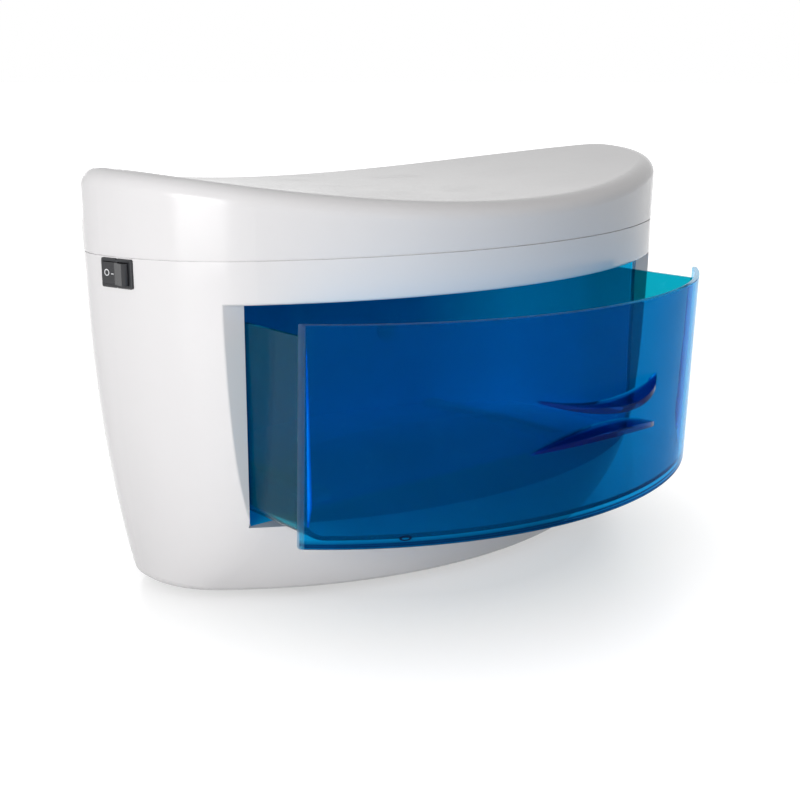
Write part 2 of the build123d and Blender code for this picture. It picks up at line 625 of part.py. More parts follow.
def round_floor(form, radius):
    """Round the edge between floor and walls."""
    floor = form.faces().sort_by(Axis.Z)[0]
    return fillet(floor.edges(), radius)


# ---------------------------------------------------------------- lamp deck
def lamp_deck():
    """Plate over the chamber that carries the lamp and its gear."""
    plan = outline(flank_plan(DECK_Z), SHELL + DECK_CLEARANCE)
    plan -= Pos(0, LAMP_Y) * RectangleRounded(*WINDOW, WINDOW[1] / 6)
    deck = extrude(Pos(0, 0, DECK_Z) * plan, DECK_THICK)
    for x, y in corners(DECK_SCREW_X, BOSS_AT[1]):
        deck -= Pos(x, y, DECK_TOP) * Rot(180, 0, 0) * pan_screw(SCREW_FIT)
    return deck


def reflector():
    """Bright trough over the lamp, flanged to the deck."""
    outer = REFLECTOR_RADIUS + REFLECTOR_WALL
    arch = Circle(outer) - Circle(REFLECTOR_RADIUS)
    flange = Pos(0, REFLECTOR_WALL / 2) * Rectangle(2 * (outer + REFLECTOR_FLANGE), REFLECTOR_WALL)
    flange -= Circle(REFLECTOR_RADIUS)
    upper = Pos(0, outer) * Rectangle(4 * outer, 2 * outer)
    profile = (arch + flange) & upper
    place = Plane(origin=(-WINDOW[0] / 2, LAMP_Y, DECK_TOP), x_dir=(0, 1, 0), z_dir=(1, 0, 0))
    return extrude(place * profile, WINDOW[0])


def lamp_tube():
    """Straight quartz tube."""
    half = LAMP_LENGTH / 2 - LAMP_CAP
    tube = rod((-half, LAMP_Y, LAMP_Z), (half, LAMP_Y, LAMP_Z), LAMP_RADIUS)
    return tube - rod((-half, LAMP_Y, LAMP_Z), (half, LAMP_Y, LAMP_Z), LAMP_RADIUS - LAMP_WALL)


def lamp_caps():
    """Metal end caps, each with two contact pins."""
    caps = []
    for side in (-1, 1):
        inner, outer = side * (LAMP_LENGTH / 2 - LAMP_CAP), side * LAMP_LENGTH / 2
        cap = rod((inner, LAMP_Y, LAMP_Z), (outer, LAMP_Y, LAMP_Z), LAMP_RADIUS)
        for step in (-1, 1):
            y = LAMP_Y + step * LAMP_PIN_PITCH / 2
            cap += rod((outer, y, LAMP_Z), (outer + side * LAMP_PIN_LENGTH, y, LAMP_Z),
                       LAMP_PIN_RADIUS)
        caps.append(cap)
    return Compound(caps)


def lamp_holders():
    """Round-topped sockets at both ends of the lamp."""
    thick, wide, high = HOLDER
    holders = []
    for side in (-1, 1):
        near = side * (LAMP_LENGTH / 2 + SLIDE_CLEARANCE)
        far = near + side * thick
        block = box(sorted((near, far)), (LAMP_Y - wide / 2, LAMP_Y + wide / 2), (DECK_TOP, LAMP_Z))
        block += rod((near, LAMP_Y, LAMP_Z), (far, LAMP_Y, LAMP_Z), wide / 2)
        pocket = near + side * (LAMP_PIN_LENGTH + SLIDE_CLEARANCE)
        reach = LAMP_PIN_PITCH / 2 + LAMP_PIN_RADIUS + SLIDE_CLEARANCE
        block -= rod((near, LAMP_Y, LAMP_Z), (pocket, LAMP_Y, LAMP_Z), reach)
        slot = LAMP_PIN_RADIUS + SLIDE_CLEARANCE
        block -= box(sorted((near, pocket)), (LAMP_Y - slot, LAMP_Y + slot), (LAMP_Z, LAMP_Z + high))
        holders.append(block)
    return Compound(holders)


def lamp_guard():
    """Welded wire guard under the lamp window."""
    long, wide = WINDOW[0] / 2 + 2 * GUARD_WIRE, WINDOW[1] / 2 + 2 * GUARD_WIRE
    z = DECK_Z - GUARD_WIRE
    guard = [rod((-long, LAMP_Y + side * wide, z), (long, LAMP_Y + side * wide, z), GUARD_WIRE)
             for side in (-1, 1)]
    count, reach = int(2 * long / GUARD_PITCH), wide + GUARD_WIRE
    for index in range(count + 1):
        x = (index - count / 2) * GUARD_PITCH
        guard.append(rod((x, LAMP_Y - reach, z), (x, LAMP_Y + reach, z), GUARD_WIRE))
    return Part() + guard


# ---------------------------------------------------------------- electrical gear
def ballast_core():
    """Stack of laminations."""
    long, wide, high = BALLAST
    x, y = BALLAST_AT
    core = box((x - long / 2, x + long / 2), (y - wide / 2, y + wide / 2),
               (DECK_TOP + FRAME, DECK_TOP + high))
    return core - ballast_window()


def ballast_window():
    """Through windows of the core that the coil fills."""
    long, wide, high = BALLAST
    x, y = BALLAST_AT
    level = DECK_TOP + high / 2
    return box((x - long, x + long), (y - wide / 4, y + wide / 4),
               (level - high / 5, level + high / 5))


def ballast_coil():
    """Wound coil, seen at both ends of the core."""
    long, wide, high = BALLAST
    x, y = BALLAST_AT
    level = DECK_TOP + high / 2
    reach = long / 2 + COIL_END
    coil = box((x - reach, x + reach), (y - wide / 4, y + wide / 4),
               (level - high / 5, level + high / 5))
    return fillet(coil.edges().filter_by(Axis.Y), 2.0)


def ballast_frame():
    """Bent strap over the core, with an ear at each end."""
    long, wide, high = BALLAST
    x, y = BALLAST_AT
    half = wide / 2
    strap = box((x - long / 3, x + long / 3), (y - half - FRAME, y + half + FRAME),
                (DECK_TOP, DECK_TOP + high + FRAME))
    strap -= box((x - long, x + long), (y - half, y + half), (DECK_TOP + FRAME, DECK_TOP + high))
    reach = long / 2 + BALLAST_FOOT
    ears = box((x - reach, x + reach), (y - half / 2, y + half / 2),
               (DECK_TOP, DECK_TOP + FRAME))
    return strap + ears


def starter():
    """Round glow starter lying along its socket."""
    x, y = STARTER_AT
    z = DECK_TOP + STARTER_RADIUS + STARTER_LIFT
    can = rod((x, y, z), (x + STARTER_LENGTH, y, z), STARTER_RADIUS)
    return fillet(can.edges().sort_by(Axis.X)[-1], 1.5)


def starter_socket():
    """Socket block that holds the starter."""
    x, y = STARTER_AT
    thick, wide, high = SOCKET
    block = box((x - thick, x), (y - wide / 2, y + wide / 2), (DECK_TOP, DECK_TOP + high))
    return fillet(block.edges().filter_by(Axis.X), 3.0)


def terminal_block():
    """Screw terminal strip with a funnel on each side of every way."""
    long, wide, high = TERMINAL
    x, y = TERMINAL_AT
    middle, pitch = DECK_TOP + high / 2, long / TERMINAL_WAYS
    block = box((x - long / 2, x + long / 2), (y - wide / 2, y + wide / 2),
                (DECK_TOP, DECK_TOP + high))
    for way in range(TERMINAL_WAYS):
        at = x - long / 2 + pitch * (way + 0.5)
        block -= rod((at, y - wide, middle), (at, y + wide, middle), pitch / 5)
        screw_y = y - wide / 4
        block -= rod((at, screw_y, middle), (at, screw_y, middle + high), pitch / 4)
    return block


# ---------------------------------------------------------------- switch
def switch_hole():
    """Flat seat and opening in the housing, in the switch's own plane."""
    long, high, proud = BEZEL
    seat = box((-long / 2 - ROCKER_GAP, long / 2 + ROCKER_GAP), (-high / 2 - ROCKER_GAP, high),
               (0, 3 * proud))
    cup_long, cup_high, deep = SWITCH_CUP
    return seat + Box(cup_long + ROCKER_GAP, cup_high + ROCKER_GAP, 2 * deep)


def switch_body():
    """Bezel and cup in one moulding, with the two pivot holes."""
    long, high, proud = BEZEL
    cup_long, cup_high, deep = SWITCH_CUP
    rim = box((-long / 2, long / 2), (-high / 2, high / 2), (0, proud))
    rim = fillet(rim.edges().filter_by(Axis.Z), 1.0)
    rim = chamfer(rim.faces().sort_by(Axis.Z)[-1].edges(), 0.5)
    cup = box((-cup_long / 2, cup_long / 2), (-cup_high / 2, cup_high / 2), (-deep, EPS))
    half_long, half_high = cup_long / 2 - CUP_WALL, cup_high / 2 - CUP_WALL
    well = box((-half_long, half_long), (-half_high, half_high), (2 * CUP_WALL - deep, 2 * proud))
    pivot = proud + ROCKER_PIVOT
    holes = rod((0, -cup_high, pivot), (0, cup_high, pivot), PIVOT_PIN + PIVOT_FIT)
    return side_seat() * (rim + cup - well - holes)


def switch_rocker():
    """Rocker with a shallow valley face, its back half pressed in."""
    proud = BEZEL[2]
    pivot = proud + ROCKER_PIVOT
    half_high = SWITCH_CUP[1] / 2 - CUP_WALL - ROCKER_GAP
    valley = proud + ROCKER_VALLEY - pivot
    reach = 2 * ROCKER_RADIUS
    rise = reach * tan(radians(ROCKER_HALF_TURN))
    wedge = make_face(Polyline((-reach, valley + rise), (0, valley), (reach, valley + rise),
                               (reach, -ROCKER_DEEP), (-reach, -ROCKER_DEEP), close=True))
    profile = wedge & Circle(ROCKER_RADIUS)
    end = Plane(origin=(0, half_high, 0), x_dir=(1, 0, 0), z_dir=(0, -1, 0))
    body = extrude(end * profile, 2 * half_high)
    pin = half_high + ROCKER_GAP + CUP_WALL / 2
    body += rod((0, -pin, 0), (0, pin, 0), PIVOT_PIN)
    return side_seat() * Pos(0, 0, pivot) * Rot(0, -ROCKER_HALF_TURN, 0) * body


def switch_blades():
    """Two tinned terminal blades behind the cup."""
    thick, high, long = BLADE
    deep = SWITCH_CUP[2]
    blade = box((-thick / 2, thick / 2), (-high / 2, high / 2), (-deep - long, -deep))
    step = SWITCH_CUP[0] / 4
    return Compound([side_seat() * Pos(x, 0, 0) * blade for x in (-step, step)])


# ---------------------------------------------------------------- power inlet
def inlet_hole():
    """Opening in the housing's back for the inlet."""
    long, high, _ = INLET_FLANGE
    wide, tall = long / 2 + ROCKER_GAP, high / 2 + ROCKER_GAP
    seat = box((-wide, wide), (-tall, tall), (-INLET_SEAT, 2 * SHELL))
    return seat + Box(INLET_BODY[0] + ROCKER_GAP, INLET_BODY[1] + ROCKER_GAP, 4 * SHELL)


def power_inlet():
    """Two-pole inlet with a figure-of-eight well."""
    long, high, thick = INLET_FLANGE
    flange = box((-long / 2, long / 2), (-high / 2, high / 2), (-INLET_SEAT, thick - INLET_SEAT))
    flange = fillet(flange.edges().filter_by(Axis.Z), 2.0)
    wide, tall, deep = INLET_BODY
    body = box((-wide / 2, wide / 2), (-tall / 2, tall / 2), (-INLET_SEAT - deep, -INLET_SEAT))
    body = fillet(body.edges().filter_by(Axis.Z), 1.5)
    well_long, well_high, well_deep = INLET_HOLE
    bottom = Pos(0, 0, thick - INLET_SEAT - well_deep)
    well = extrude(bottom * SlotOverall(well_long, well_high), 2 * well_deep)
    step = INLET_PIN_PITCH / 2
    pins = [rod((x, 0, -deep - SHELL), (x, 0, 0), INLET_PIN_RADIUS) for x in (-step, step)]
    return back_seat(INLET_X, INLET_Z) * (flange + body - well - pins)


def inlet_pins():
    """Two contact pins in the inlet's well."""
    _, _, deep = INLET_BODY
    low, high = -deep - INLET_SEAT - SHELL, INLET_PIN_LENGTH - INLET_HOLE[2]
    step = INLET_PIN_PITCH / 2
    pins = [rod((x, 0, low), (x, 0, high), INLET_PIN_RADIUS) for x in (-step, step)]
    return Compound([back_seat(INLET_X, INLET_Z) * pin for pin in pins])


# ---------------------------------------------------------------- nodes
NODES = {
    "main_housing": main_housing, "base_plate": base_plate, "rubber_feet": feet,
    "base_screws": base_screws, "top_cover": top_cover, "cover_screws": cover_screws,
    "drawer_chamber": drawer_chamber, "slide_strips": slide_strips,
    "closing_buffers": buffers, "lamp_deck": lamp_deck, "deck_screws": deck_screws,
    "reflector": reflector, "lamp_tube": lamp_tube, "lamp_end_caps": lamp_caps,
    "lamp_holders": lamp_holders, "lamp_guard": lamp_guard, "ballast_core": ballast_core,
    "ballast_coil": ballast_coil, "ballast_frame": ballast_frame, "starter": starter,
    "starter_socket": starter_socket, "terminal_block": terminal_block,
    "power_inlet": power_inlet, "inlet_pins": inlet_pins, "switch_body": switch_body,
    "switch_blades": switch_blades, "switch_rocker": switch_rocker,
    "drawer_tub": drawer_tub, "drawer_front": drawer_front,
}


def main():
    os.makedirs("parts", exist_ok=True)
    for name, make in NODES.items():
        export_step(make(), f"parts/{name}.step")


if __name__ == "__main__":
    main()
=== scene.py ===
import math

import bmesh
import bpy
from bpy.props import FloatProperty, FloatVectorProperty, IntProperty, PointerProperty
from mathutils import Matrix, Vector


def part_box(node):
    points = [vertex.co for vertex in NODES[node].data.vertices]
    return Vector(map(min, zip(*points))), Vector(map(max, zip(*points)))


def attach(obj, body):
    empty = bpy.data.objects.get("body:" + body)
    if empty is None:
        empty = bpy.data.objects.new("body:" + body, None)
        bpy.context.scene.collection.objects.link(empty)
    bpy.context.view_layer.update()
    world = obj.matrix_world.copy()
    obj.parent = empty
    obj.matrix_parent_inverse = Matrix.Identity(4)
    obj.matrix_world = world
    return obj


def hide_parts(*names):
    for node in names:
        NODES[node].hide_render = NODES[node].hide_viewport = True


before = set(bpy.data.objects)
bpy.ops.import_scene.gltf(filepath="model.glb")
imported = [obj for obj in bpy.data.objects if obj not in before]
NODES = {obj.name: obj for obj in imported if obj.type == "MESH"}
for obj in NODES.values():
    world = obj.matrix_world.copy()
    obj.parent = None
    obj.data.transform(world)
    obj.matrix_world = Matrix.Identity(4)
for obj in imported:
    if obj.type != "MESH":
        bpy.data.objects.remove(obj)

bl_info = {
    "name": "Sterilizer case dressing",
    "version": (1, 0, 0),
    "blender": (4, 5, 0),
    "location": "3D View > Sidebar > Sterilizer case",
    "description": "Finishes and small fittings of a desktop ultraviolet sterilizer case",
    "category": "Object",
}

# Places that the solids give, in metres.
DECK_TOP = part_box("lamp_deck")[1].z
BALLAST_LOW, BALLAST_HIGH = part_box("ballast_core")
COIL_LOW, COIL_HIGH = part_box("ballast_coil")
TERMINAL_LOW, TERMINAL_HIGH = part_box("terminal_block")
LAMP_LOW, LAMP_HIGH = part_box("lamp_tube")
LAMP_AXIS = (LAMP_LOW + LAMP_HIGH) / 2
FILAMENT_INSET = 0.014
BASE_SCREW_AT = (0.111, 0.028)
DECK_SCREW_AT = (0.178, 0.028)
COVER_SCREW_AT = (0.095, 0.100266, 0.179)
COVER_SCREW_OUT = (0.40655, 0.913629, 0.0)
HOUSING_FOOT = 0.0025

# The switch lies in a plane of its own, and its rocker leans in it.
SWITCH_AT = (-0.195502, -0.022, 0.18)
SWITCH_ALONG = (0.281911, -0.959441, 0.0)
SWITCH_OUT = (-0.959441, -0.281911, 0.0)
ROCKER_PIVOT = 0.0007
ROCKER_TURN = math.radians(-10.0)
ROCKER_VALLEY = 0.0018
RING_AT = (-0.0053, 0.0002)
BAR_AT = (-0.0014, -0.0003)

# The drawer's front is a sheet bowed about an upright, slightly leaning axis.
FRONT_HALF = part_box("drawer_front")[1].x
FRONT_LOW, FRONT_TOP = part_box("drawer_front")[0].z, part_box("drawer_front")[1].z
FRONT_BOW = 0.22152
FRONT_LEAN = 0.03826
FRONT_AXIS = 0.04823
FRONT_WALL = 0.003
# Heights of the painted shade on the front's lip and of its painted dark line low down.
SHADED_LIP_FROM, SHADED_LIP_TO = 0.0519, 0.0511
PAINTED_LINE_HEIGHT = FRONT_LOW + 0.0017
GATE_AT = (-0.1100, 0.0526)
GATE_WALL, GATE_HEIGHT, GATE_SQUASH = 0.0012, 0.0004, 0.42

# The tub widens towards its top, and the beads run up its front corners, where they also
# stand in for the corners' highlight.
TUB_HALF_INSIDE = 0.1488
TUB_DRAFT = 0.01047
TUB_TOP = 0.1556
BEAD_LOW, BEAD_RISE, BEAD_CLEAR, BEAD_TIP = 0.0585, 0.0915, 0.0003, 0.18

# The terminal strip has a sleeve and a sunk screw in each way.
TERMINAL_WAYS = 4
SLEEVE_CLEAR, SLEEVE_WALL = 0.0001, 0.0005
TERMINAL_SCREW_SUNK = 0.003
TERMINAL_SCREW = dict(Head_Radius=0.0022, Under_Radius=0.0022, Head_Height=0.0015, Stand=0.0,
                      Dome=0.0001, Shank_Radius=0.0012, Shank_Length=0.0035,
                      Thread_Pitch=0.0006, Recess_Length=0.0050, Recess_Width=0.0006,
                      Recess_Depth=0.0006, Cross=False)

# A thread's core, line and ridge as shares of its radius, and its share of the shank.
CORE_SHARE, LINE_SHARE, RIDGE_SHARE, THREADED_SHARE = 0.80, 0.84, 0.15, 0.90

# Painted light: glow of the lining, which grows between two places across it and stands in
# for light through the tinted walls, and a painted blue glow on the strips.
PAINTED_GLOW_FROM, PAINTED_GLOW_TO = 0.09, 0.15
PAINTED_GLOW_LEFT, PAINTED_GLOW_RIGHT = (0.0, 0.032, 0.12), (0.003, 0.19, 0.30)
PAINTED_GLOW_STRIPS = (0.0, 0.26, 1.0, 1.0)

BLACK, WHITE = (0.0, 0.0, 0.0, 1.0), (1.0, 1.0, 1.0, 1.0)
PALE_DUST, GREY_DUST = (0.45, 0.43, 0.40, 1.0), (0.35, 0.34, 0.32, 1.0)
TARNISH, SCUFF = (0.03, 0.025, 0.02, 1.0), (0.30, 0.62, 0.80, 1.0)
# Painted shade on the front's lip and low line; the pulls' darker tint; pale rims, frosted
# and partly a painted highlight.
LIP_PAINTED_SHADE, LINE_PAINTED_SHADE = (0.002, 0.22, 0.52, 1.0), (0.001, 0.010, 0.09, 1.0)
PULL_TINT, RIM_FROST_AND_HIGHLIGHT = (0.001, 0.06, 0.32, 1.0), (0.50, 0.66, 0.78, 1.0)

# Each soft lamp's place, width and height, and the spot that they all point at.
LAMPS = {"key": ((-1.0, -0.56, 0.30), 0.6, 0.5), "fill": ((-0.1, -1.4, 0.28), 0.8, 0.5),
         "top": ((0.35, 0.25, 1.3), 0.9, 0.7), "back": ((0.15, 1.4, 0.35), 0.8, 0.6)}
LAMP_AIM = (0.0, -0.02, 0.12)
FLOOR_REACH, FLOOR_DROP = 60.0, 0.0004
# Painted shadow on the floor: its glow is dimmer near the case, full further out.
FLOOR_SHADOW_NEAR, FLOOR_SHADOW_FAR = (0.13, 0.50), (0.245, 0.88)
SENSOR_WIDTH = 36.0


# ---------------------------------------------------------------- sizes and colours
def number(name, description, default, **more):
    return FloatProperty(name=name, description=description, default=default, **more)


def length(name, description, default):
    return number(name, description, default, min=0.0, precision=5, subtype="DISTANCE",
                  unit="LENGTH")


def share(name, description, default):
    return number(name, description, default, min=0.0, max=1.0, subtype="FACTOR")


def power(name, description, default):
    return number(name, description, default, min=0.0, unit="POWER")


def angle(name, description, degrees):
    return number(name, description, math.radians(degrees), subtype="ANGLE")


def colour(name, description, default):
    return FloatVectorProperty(name=name, description=description, default=default, size=3,
                               min=0.0, max=1.0, subtype="COLOR")


class ShellSettings(bpy.types.PropertyGroup):
    shell_colour: colour("Shell", "Gloss white of housing and cover", (0.84, 0.825, 0.832))
    base_colour: colour("Base", "Satin white of the base plate", (0.70, 0.70, 0.72))
    rubber_colour: colour("Rubber", "Feet", (0.028, 0.028, 0.030))
    buffer_colour: colour("Buffers", "Soft stops of the drawer", (0.02, 0.56, 0.86))
    shell_gloss: share("Shell roughness", "Roughness of the gloss shell", 0.16)
    grain: length("Grain", "Size of the fine ripple in the moulded skin", 0.0006)


class DrawerSettings(bpy.types.PropertyGroup):
    tub_colour: colour("Tub", "Tint of the see-through tub", (0.004, 0.39, 0.51))
    front_colour: colour("Front", "Tint of the see-through front", (0.002, 0.40, 0.84))
    chamber_colour: colour("Chamber", "Blue of the chamber's lining", (0.014, 0.72, 0.98))
    strip_colour: colour("Strips", "Slide strips", (0.62, 0.64, 0.66))
    tub_clear: share("Tub clear", "Share of light that goes through the tub", 0.92)
    front_clear: share("Front clear", "Share of light that goes through the front", 0.93)
    gate_size: length("Gate mark", "Width of the moulding mark low on the front", 0.0064)
    # The bead's bright blue is partly a painted highlight on the tub's front corners.
    weld_and_highlight_colour: colour("Weld", "Bead of cement between tub and front", (0.006, 0.32, 0.80))
    weld_radius: length("Weld radius", "Radius of the bead at its foot", 0.0016)


class LampSettings(bpy.types.PropertyGroup):
    deck_colour: colour("Deck", "Zinc-plated sheet", (0.60, 0.61, 0.63))
    reflector_colour: colour("Reflector", "Bright aluminium", (0.84, 0.85, 0.86))
    glass_colour: colour("Quartz", "Tint of the lamp tube", (0.93, 0.96, 0.99))
    wire_colour: colour("Guard wire", "Bright steel wire", (0.62, 0.63, 0.65))
    cap_colour: colour("Caps", "Aluminium end caps", (0.74, 0.75, 0.76))
    holder_colour: colour("Holders", "Lamp holders and socket", (0.72, 0.72, 0.69))
    filament_radius: length("Filament radius", "Radius of the coiled filament", 0.0011)
    filament_turns: IntProperty(name="Filament turns", default=9, min=1, max=60,
                                description="Turns of each filament")


class GearSettings(bpy.types.PropertyGroup):
    sheet_pitch: length("Sheet pitch", "Pitch of the core's sheets", 0.0005)
    sheet_gap: share("Sheet gap", "Share of the pitch that is open", 0.12)
    sheet_colour: colour("Core sheets", "Oiled electrical steel", (0.13, 0.13, 0.135))
    wire_radius: length("Winding wire", "Radius of the enamelled wire", 0.00032)
    wire_colour: colour("Enamel", "Enamelled copper", (0.46, 0.13, 0.045))
    starter_colour: colour("Starter", "Moulded starter can", (0.76, 0.76, 0.72))
    terminal_colour: colour("Terminals", "Terminal strip", (0.66, 0.68, 0.60))
    brass_colour: colour("Brass", "Pins, blades and sleeves", (0.66, 0.53, 0.27))


class SwitchSettings(bpy.types.PropertyGroup):
    body_colour: colour("Body", "Bezel and inlet", (0.016, 0.017, 0.021))
    rocker_colour: colour("Rocker", "Rocker face", (0.020, 0.021, 0.025))
    mark_colour: colour("Marks", "Printed circle and bar", (0.75, 0.76, 0.78))
    ring_radius: length("Circle", "Outer radius of the circle mark", 0.00175)
    mark_stroke: length("Stroke", "Width of the marks' lines", 0.00055)
    bar_length: length("Bar", "Length of the bar mark", 0.0017)
    mark_height: length("Ink height", "Height of the print", 0.00004)


class ScrewSettings(bpy.types.PropertyGroup):
    head_radius: length("Head radius", "Radius of a screw head", 0.003)
    head_height: length("Head height", "Height of a screw head", 0.002)
    shank_radius: length("Thread radius", "Outer radius of the thread", 0.0015)
    shank_length: length("Shank length", "Length under the head", 0.009)
    thread_pitch: length("Thread pitch", "Rise of one turn", 0.0006)
    recess_length: length("Recess length", "Length of the cross recess", 0.0034)
    recess_width: length("Recess width", "Width of the cross recess", 0.0007)
    steel_colour: colour("Screw steel", "Zinc-plated steel", (0.60, 0.61, 0.62))


class StageSettings(bpy.types.PropertyGroup):
    floor_colour: colour("Floor", "Pale floor", (0.34, 0.34, 0.342))
    room_light: number("Room light", "Strength of the even light from all sides", 0.26,
                       min=0.0)
    key_power: power("Key lamp", "Soft lamp on the left", 7.6)
    fill_power: power("Fill lamp", "Soft lamp in front", 0.8)
    top_power: power("Top lamp", "Soft lamp above", 0.7)
    back_power: power("Back lamp", "Soft lamp behind", 3.6)
    camera_at: FloatVectorProperty(name="Camera", description="Place of the camera", size=3,
                                   default=(-0.5074, -0.6092, 0.2759), subtype="XYZ",
                                   unit="LENGTH")
    camera_heading: angle("Heading", "Camera's turn from +Y to +X", 40.36)
    camera_dip: angle("Dip", "Camera's tilt below the horizon", 13.99)
    camera_roll: angle("Roll", "Camera's turn about its own line of sight", -0.11)
    camera_lens: number("Lens", "Focal length on a 36 mm wide sensor", 58.12, min=1.0,
                        unit="CAMERA")


# ---------------------------------------------------------------- node trees
def add(tree, kind, settings=None, **inputs):
    """Adds a node, with its own settings and its inputs as values or links."""
    node = tree.nodes.new(kind)
    for key, value in (settings or {}).items():
        setattr(node, key, value)
    for key, value in inputs.items():
        feed(tree, node.inputs[key.replace("_", " ")], value)
    return node


def feed(tree, socket, value):
    """Gives a socket a value, or links it to another socket."""
    if isinstance(value, bpy.types.NodeSocket):
        tree.links.new(value, socket)
    else:
        socket.default_value = value


def calc(tree, operation, *terms, clamp=False):
    """One arithmetic step on numbers."""
    node = add(tree, "ShaderNodeMath", {"operation": operation, "use_clamp": clamp})
    for socket, term in zip(node.inputs, terms):
        feed(tree, socket, term)
    return node.outputs[0]


def product(tree, result, *factors):
    """Numbers multiplied one after the other."""
    for factor in factors:
        result = calc(tree, "MULTIPLY", result, factor)
    return result


def less(tree, first, second):
    """First number less the second."""
    return calc(tree, "SUBTRACT", first, second)


def mixed(tree, factor, first, second):
    """Colour between two colours."""
    node = add(tree, "ShaderNodeMix", {"data_type": "RGBA"})
    feed(tree, node.inputs[0], factor)
    feed(tree, node.inputs[6], first)
    feed(tree, node.inputs[7], second)
    return node.outputs[2]


def remap(tree, value, low, high, to_low=0.0, to_high=1.0):
    """Value stretched from one range to another, held at the ends."""
    return add(tree, "ShaderNodeMapRange", Value=value, From_Min=low, From_Max=high,
               To_Min=to_low, To_Max=to_high).outputs[0]


def vector_of(tree, x=0.0, y=0.0, z=0.0):
    """Vector made of three numbers."""
    return add(tree, "ShaderNodeCombineXYZ", X=x, Y=y, Z=z).outputs[0]


def split(tree, vector):
    """X, Y and Z of a vector."""
    return add(tree, "ShaderNodeSeparateXYZ", Vector=vector).outputs


def length_of(tree, vector):
    """Length of a vector."""
    node = add(tree, "ShaderNodeVectorMath", {"operation": "LENGTH"})
    feed(tree, node.inputs[0], vector)
    return node.outputs["Value"]


def noise(tree, where, scale, detail, **more):
    """Value of a noise texture."""
    return add(tree, "ShaderNodeTexNoise", Vector=where, Scale=scale, Detail=detail,
               **more).outputs[0]


SOCKET_KINDS = {bool: "Bool", int: "Int", float: "Float", tuple: "Vector"}


def new_group(kind, name, inputs, outputs):
    """Node group whose sockets are given by a default value, or by a kind's name alone."""
    tree = bpy.data.node_groups.new(name, kind)
    for direction, sockets in (("INPUT", inputs), ("OUTPUT", outputs)):
        for label, value in sockets.items():
            bare = isinstance(value, str)
            socket = tree.interface.new_socket(
                label, in_out=direction,
                socket_type="NodeSocket" + (value if bare else SOCKET_KINDS[type(value)]))
            if not bare:
                socket.default_value = value
    entry = tree.nodes.new("NodeGroupInput")
    leave = tree.nodes.new("NodeGroupOutput")
    return tree, entry.outputs, leave.inputs


def placed(tree, maker, **inputs):
    """Outputs of a shared group in a material."""
    return add(tree, "ShaderNodeGroup", {"node_tree": group(maker)}, **inputs).outputs


# ---------------------------------------------------------------- shared finishes
def uneven(tree, given, wave):
    """Roughness that swings with a wave between 0 and 1."""
    swing = product(tree, less(tree, wave, 0.5), given["Spread"])
    return calc(tree, "ADD", swing, given["Roughness"], clamp=True)


def moulded_skin():
    """Fine ripple, sheen change and slight shade change of a moulded surface."""
    tree, given, out = new_group(
        "ShaderNodeTree", "moulded_skin",
        dict(Vector="Vector", Grain=0.0006, Color="Color", Shade=0.03, Roughness=0.3,
             Spread=0.06),
        dict(Color="Color", Roughness="Float", Height="Float"))
    where = given["Vector"]
    ripple = noise(tree, where, calc(tree, "DIVIDE", 1.0, given["Grain"]), 3.0,
                   Roughness=0.55)
    cloud = noise(tree, where, 9.0, 4.0, Roughness=0.5)
    smear = noise(tree, where, 34.0, 5.0, Roughness=0.62, Distortion=0.6)
    darker = mixed(tree, given["Shade"], given["Color"], BLACK)
    feed(tree, out["Color"],
         mixed(tree, remap(tree, cloud, 0.35, 0.65), darker, given["Color"]))
    feed(tree, out["Roughness"], uneven(tree, given, smear))
    feed(tree, out["Height"], ripple)
    return tree


def handling_wear():
    """Thin random scratches and a rubbed haze."""
    tree, given, out = new_group(
        "ShaderNodeTree", "handling_wear", dict(Vector="Vector", Scratches=0.5, Size=0.02),
        dict(Scratch="Float", Haze="Float"))
    scale = calc(tree, "DIVIDE", 1.0, given["Size"])
    lines = []
    for turn, stretch in ((0.4, 14.0), (-0.9, 10.0)):
        bent = add(tree, "ShaderNodeMapping", Vector=given["Vector"],
                   Rotation=(0.3 * turn, turn, 1.7 * turn), Scale=(1.0, stretch, stretch))
        wave = noise(tree, bent.outputs[0], scale, 1.0, Distortion=0.25)
        near = calc(tree, "ABSOLUTE", less(tree, wave, 0.5))
        lines.append(remap(tree, near, 0.0, 0.0045, 1.0, 0.0))
    patch = noise(tree, given["Vector"], scale, 2.0)
    kept = remap(tree, patch, 0.52, 0.62)
    feed(tree, out["Scratch"],
         product(tree, calc(tree, "MAXIMUM", *lines), kept, given["Scratches"]))
    feed(tree, out["Haze"], remap(tree, patch, 0.45, 0.75))
    return tree


def brushed_lines():
    """Long fine lines of rolled or drawn metal."""
    tree, given, out = new_group(
        "ShaderNodeTree", "brushed_lines",
        {"Vector": "Vector", "Line Size": 0.0004, "Stretch": (0.03, 1.0, 1.0),
         "Color": "Color", "Roughness": 0.3, "Spread": 0.2},
        dict(Color="Color", Roughness="Float", Height="Float"))
    long = add(tree, "ShaderNodeVectorMath", {"operation": "MULTIPLY"})
    feed(tree, long.inputs[0], given["Vector"])
    feed(tree, long.inputs[1], given["Stretch"])
    line = noise(tree, long.outputs[0], calc(tree, "DIVIDE", 1.0, given["Line Size"]), 2.0)
    tarnish = noise(tree, given["Vector"], 40.0, 6.0, Roughness=0.65)
    dull = mixed(tree, 0.22, given["Color"], TARNISH)
    feed(tree, out["Color"],
         mixed(tree, remap(tree, tarnish, 0.40, 0.62), dull, given["Color"]))
    feed(tree, out["Roughness"], uneven(tree, given, line))
    feed(tree, out["Height"], line)
    return tree


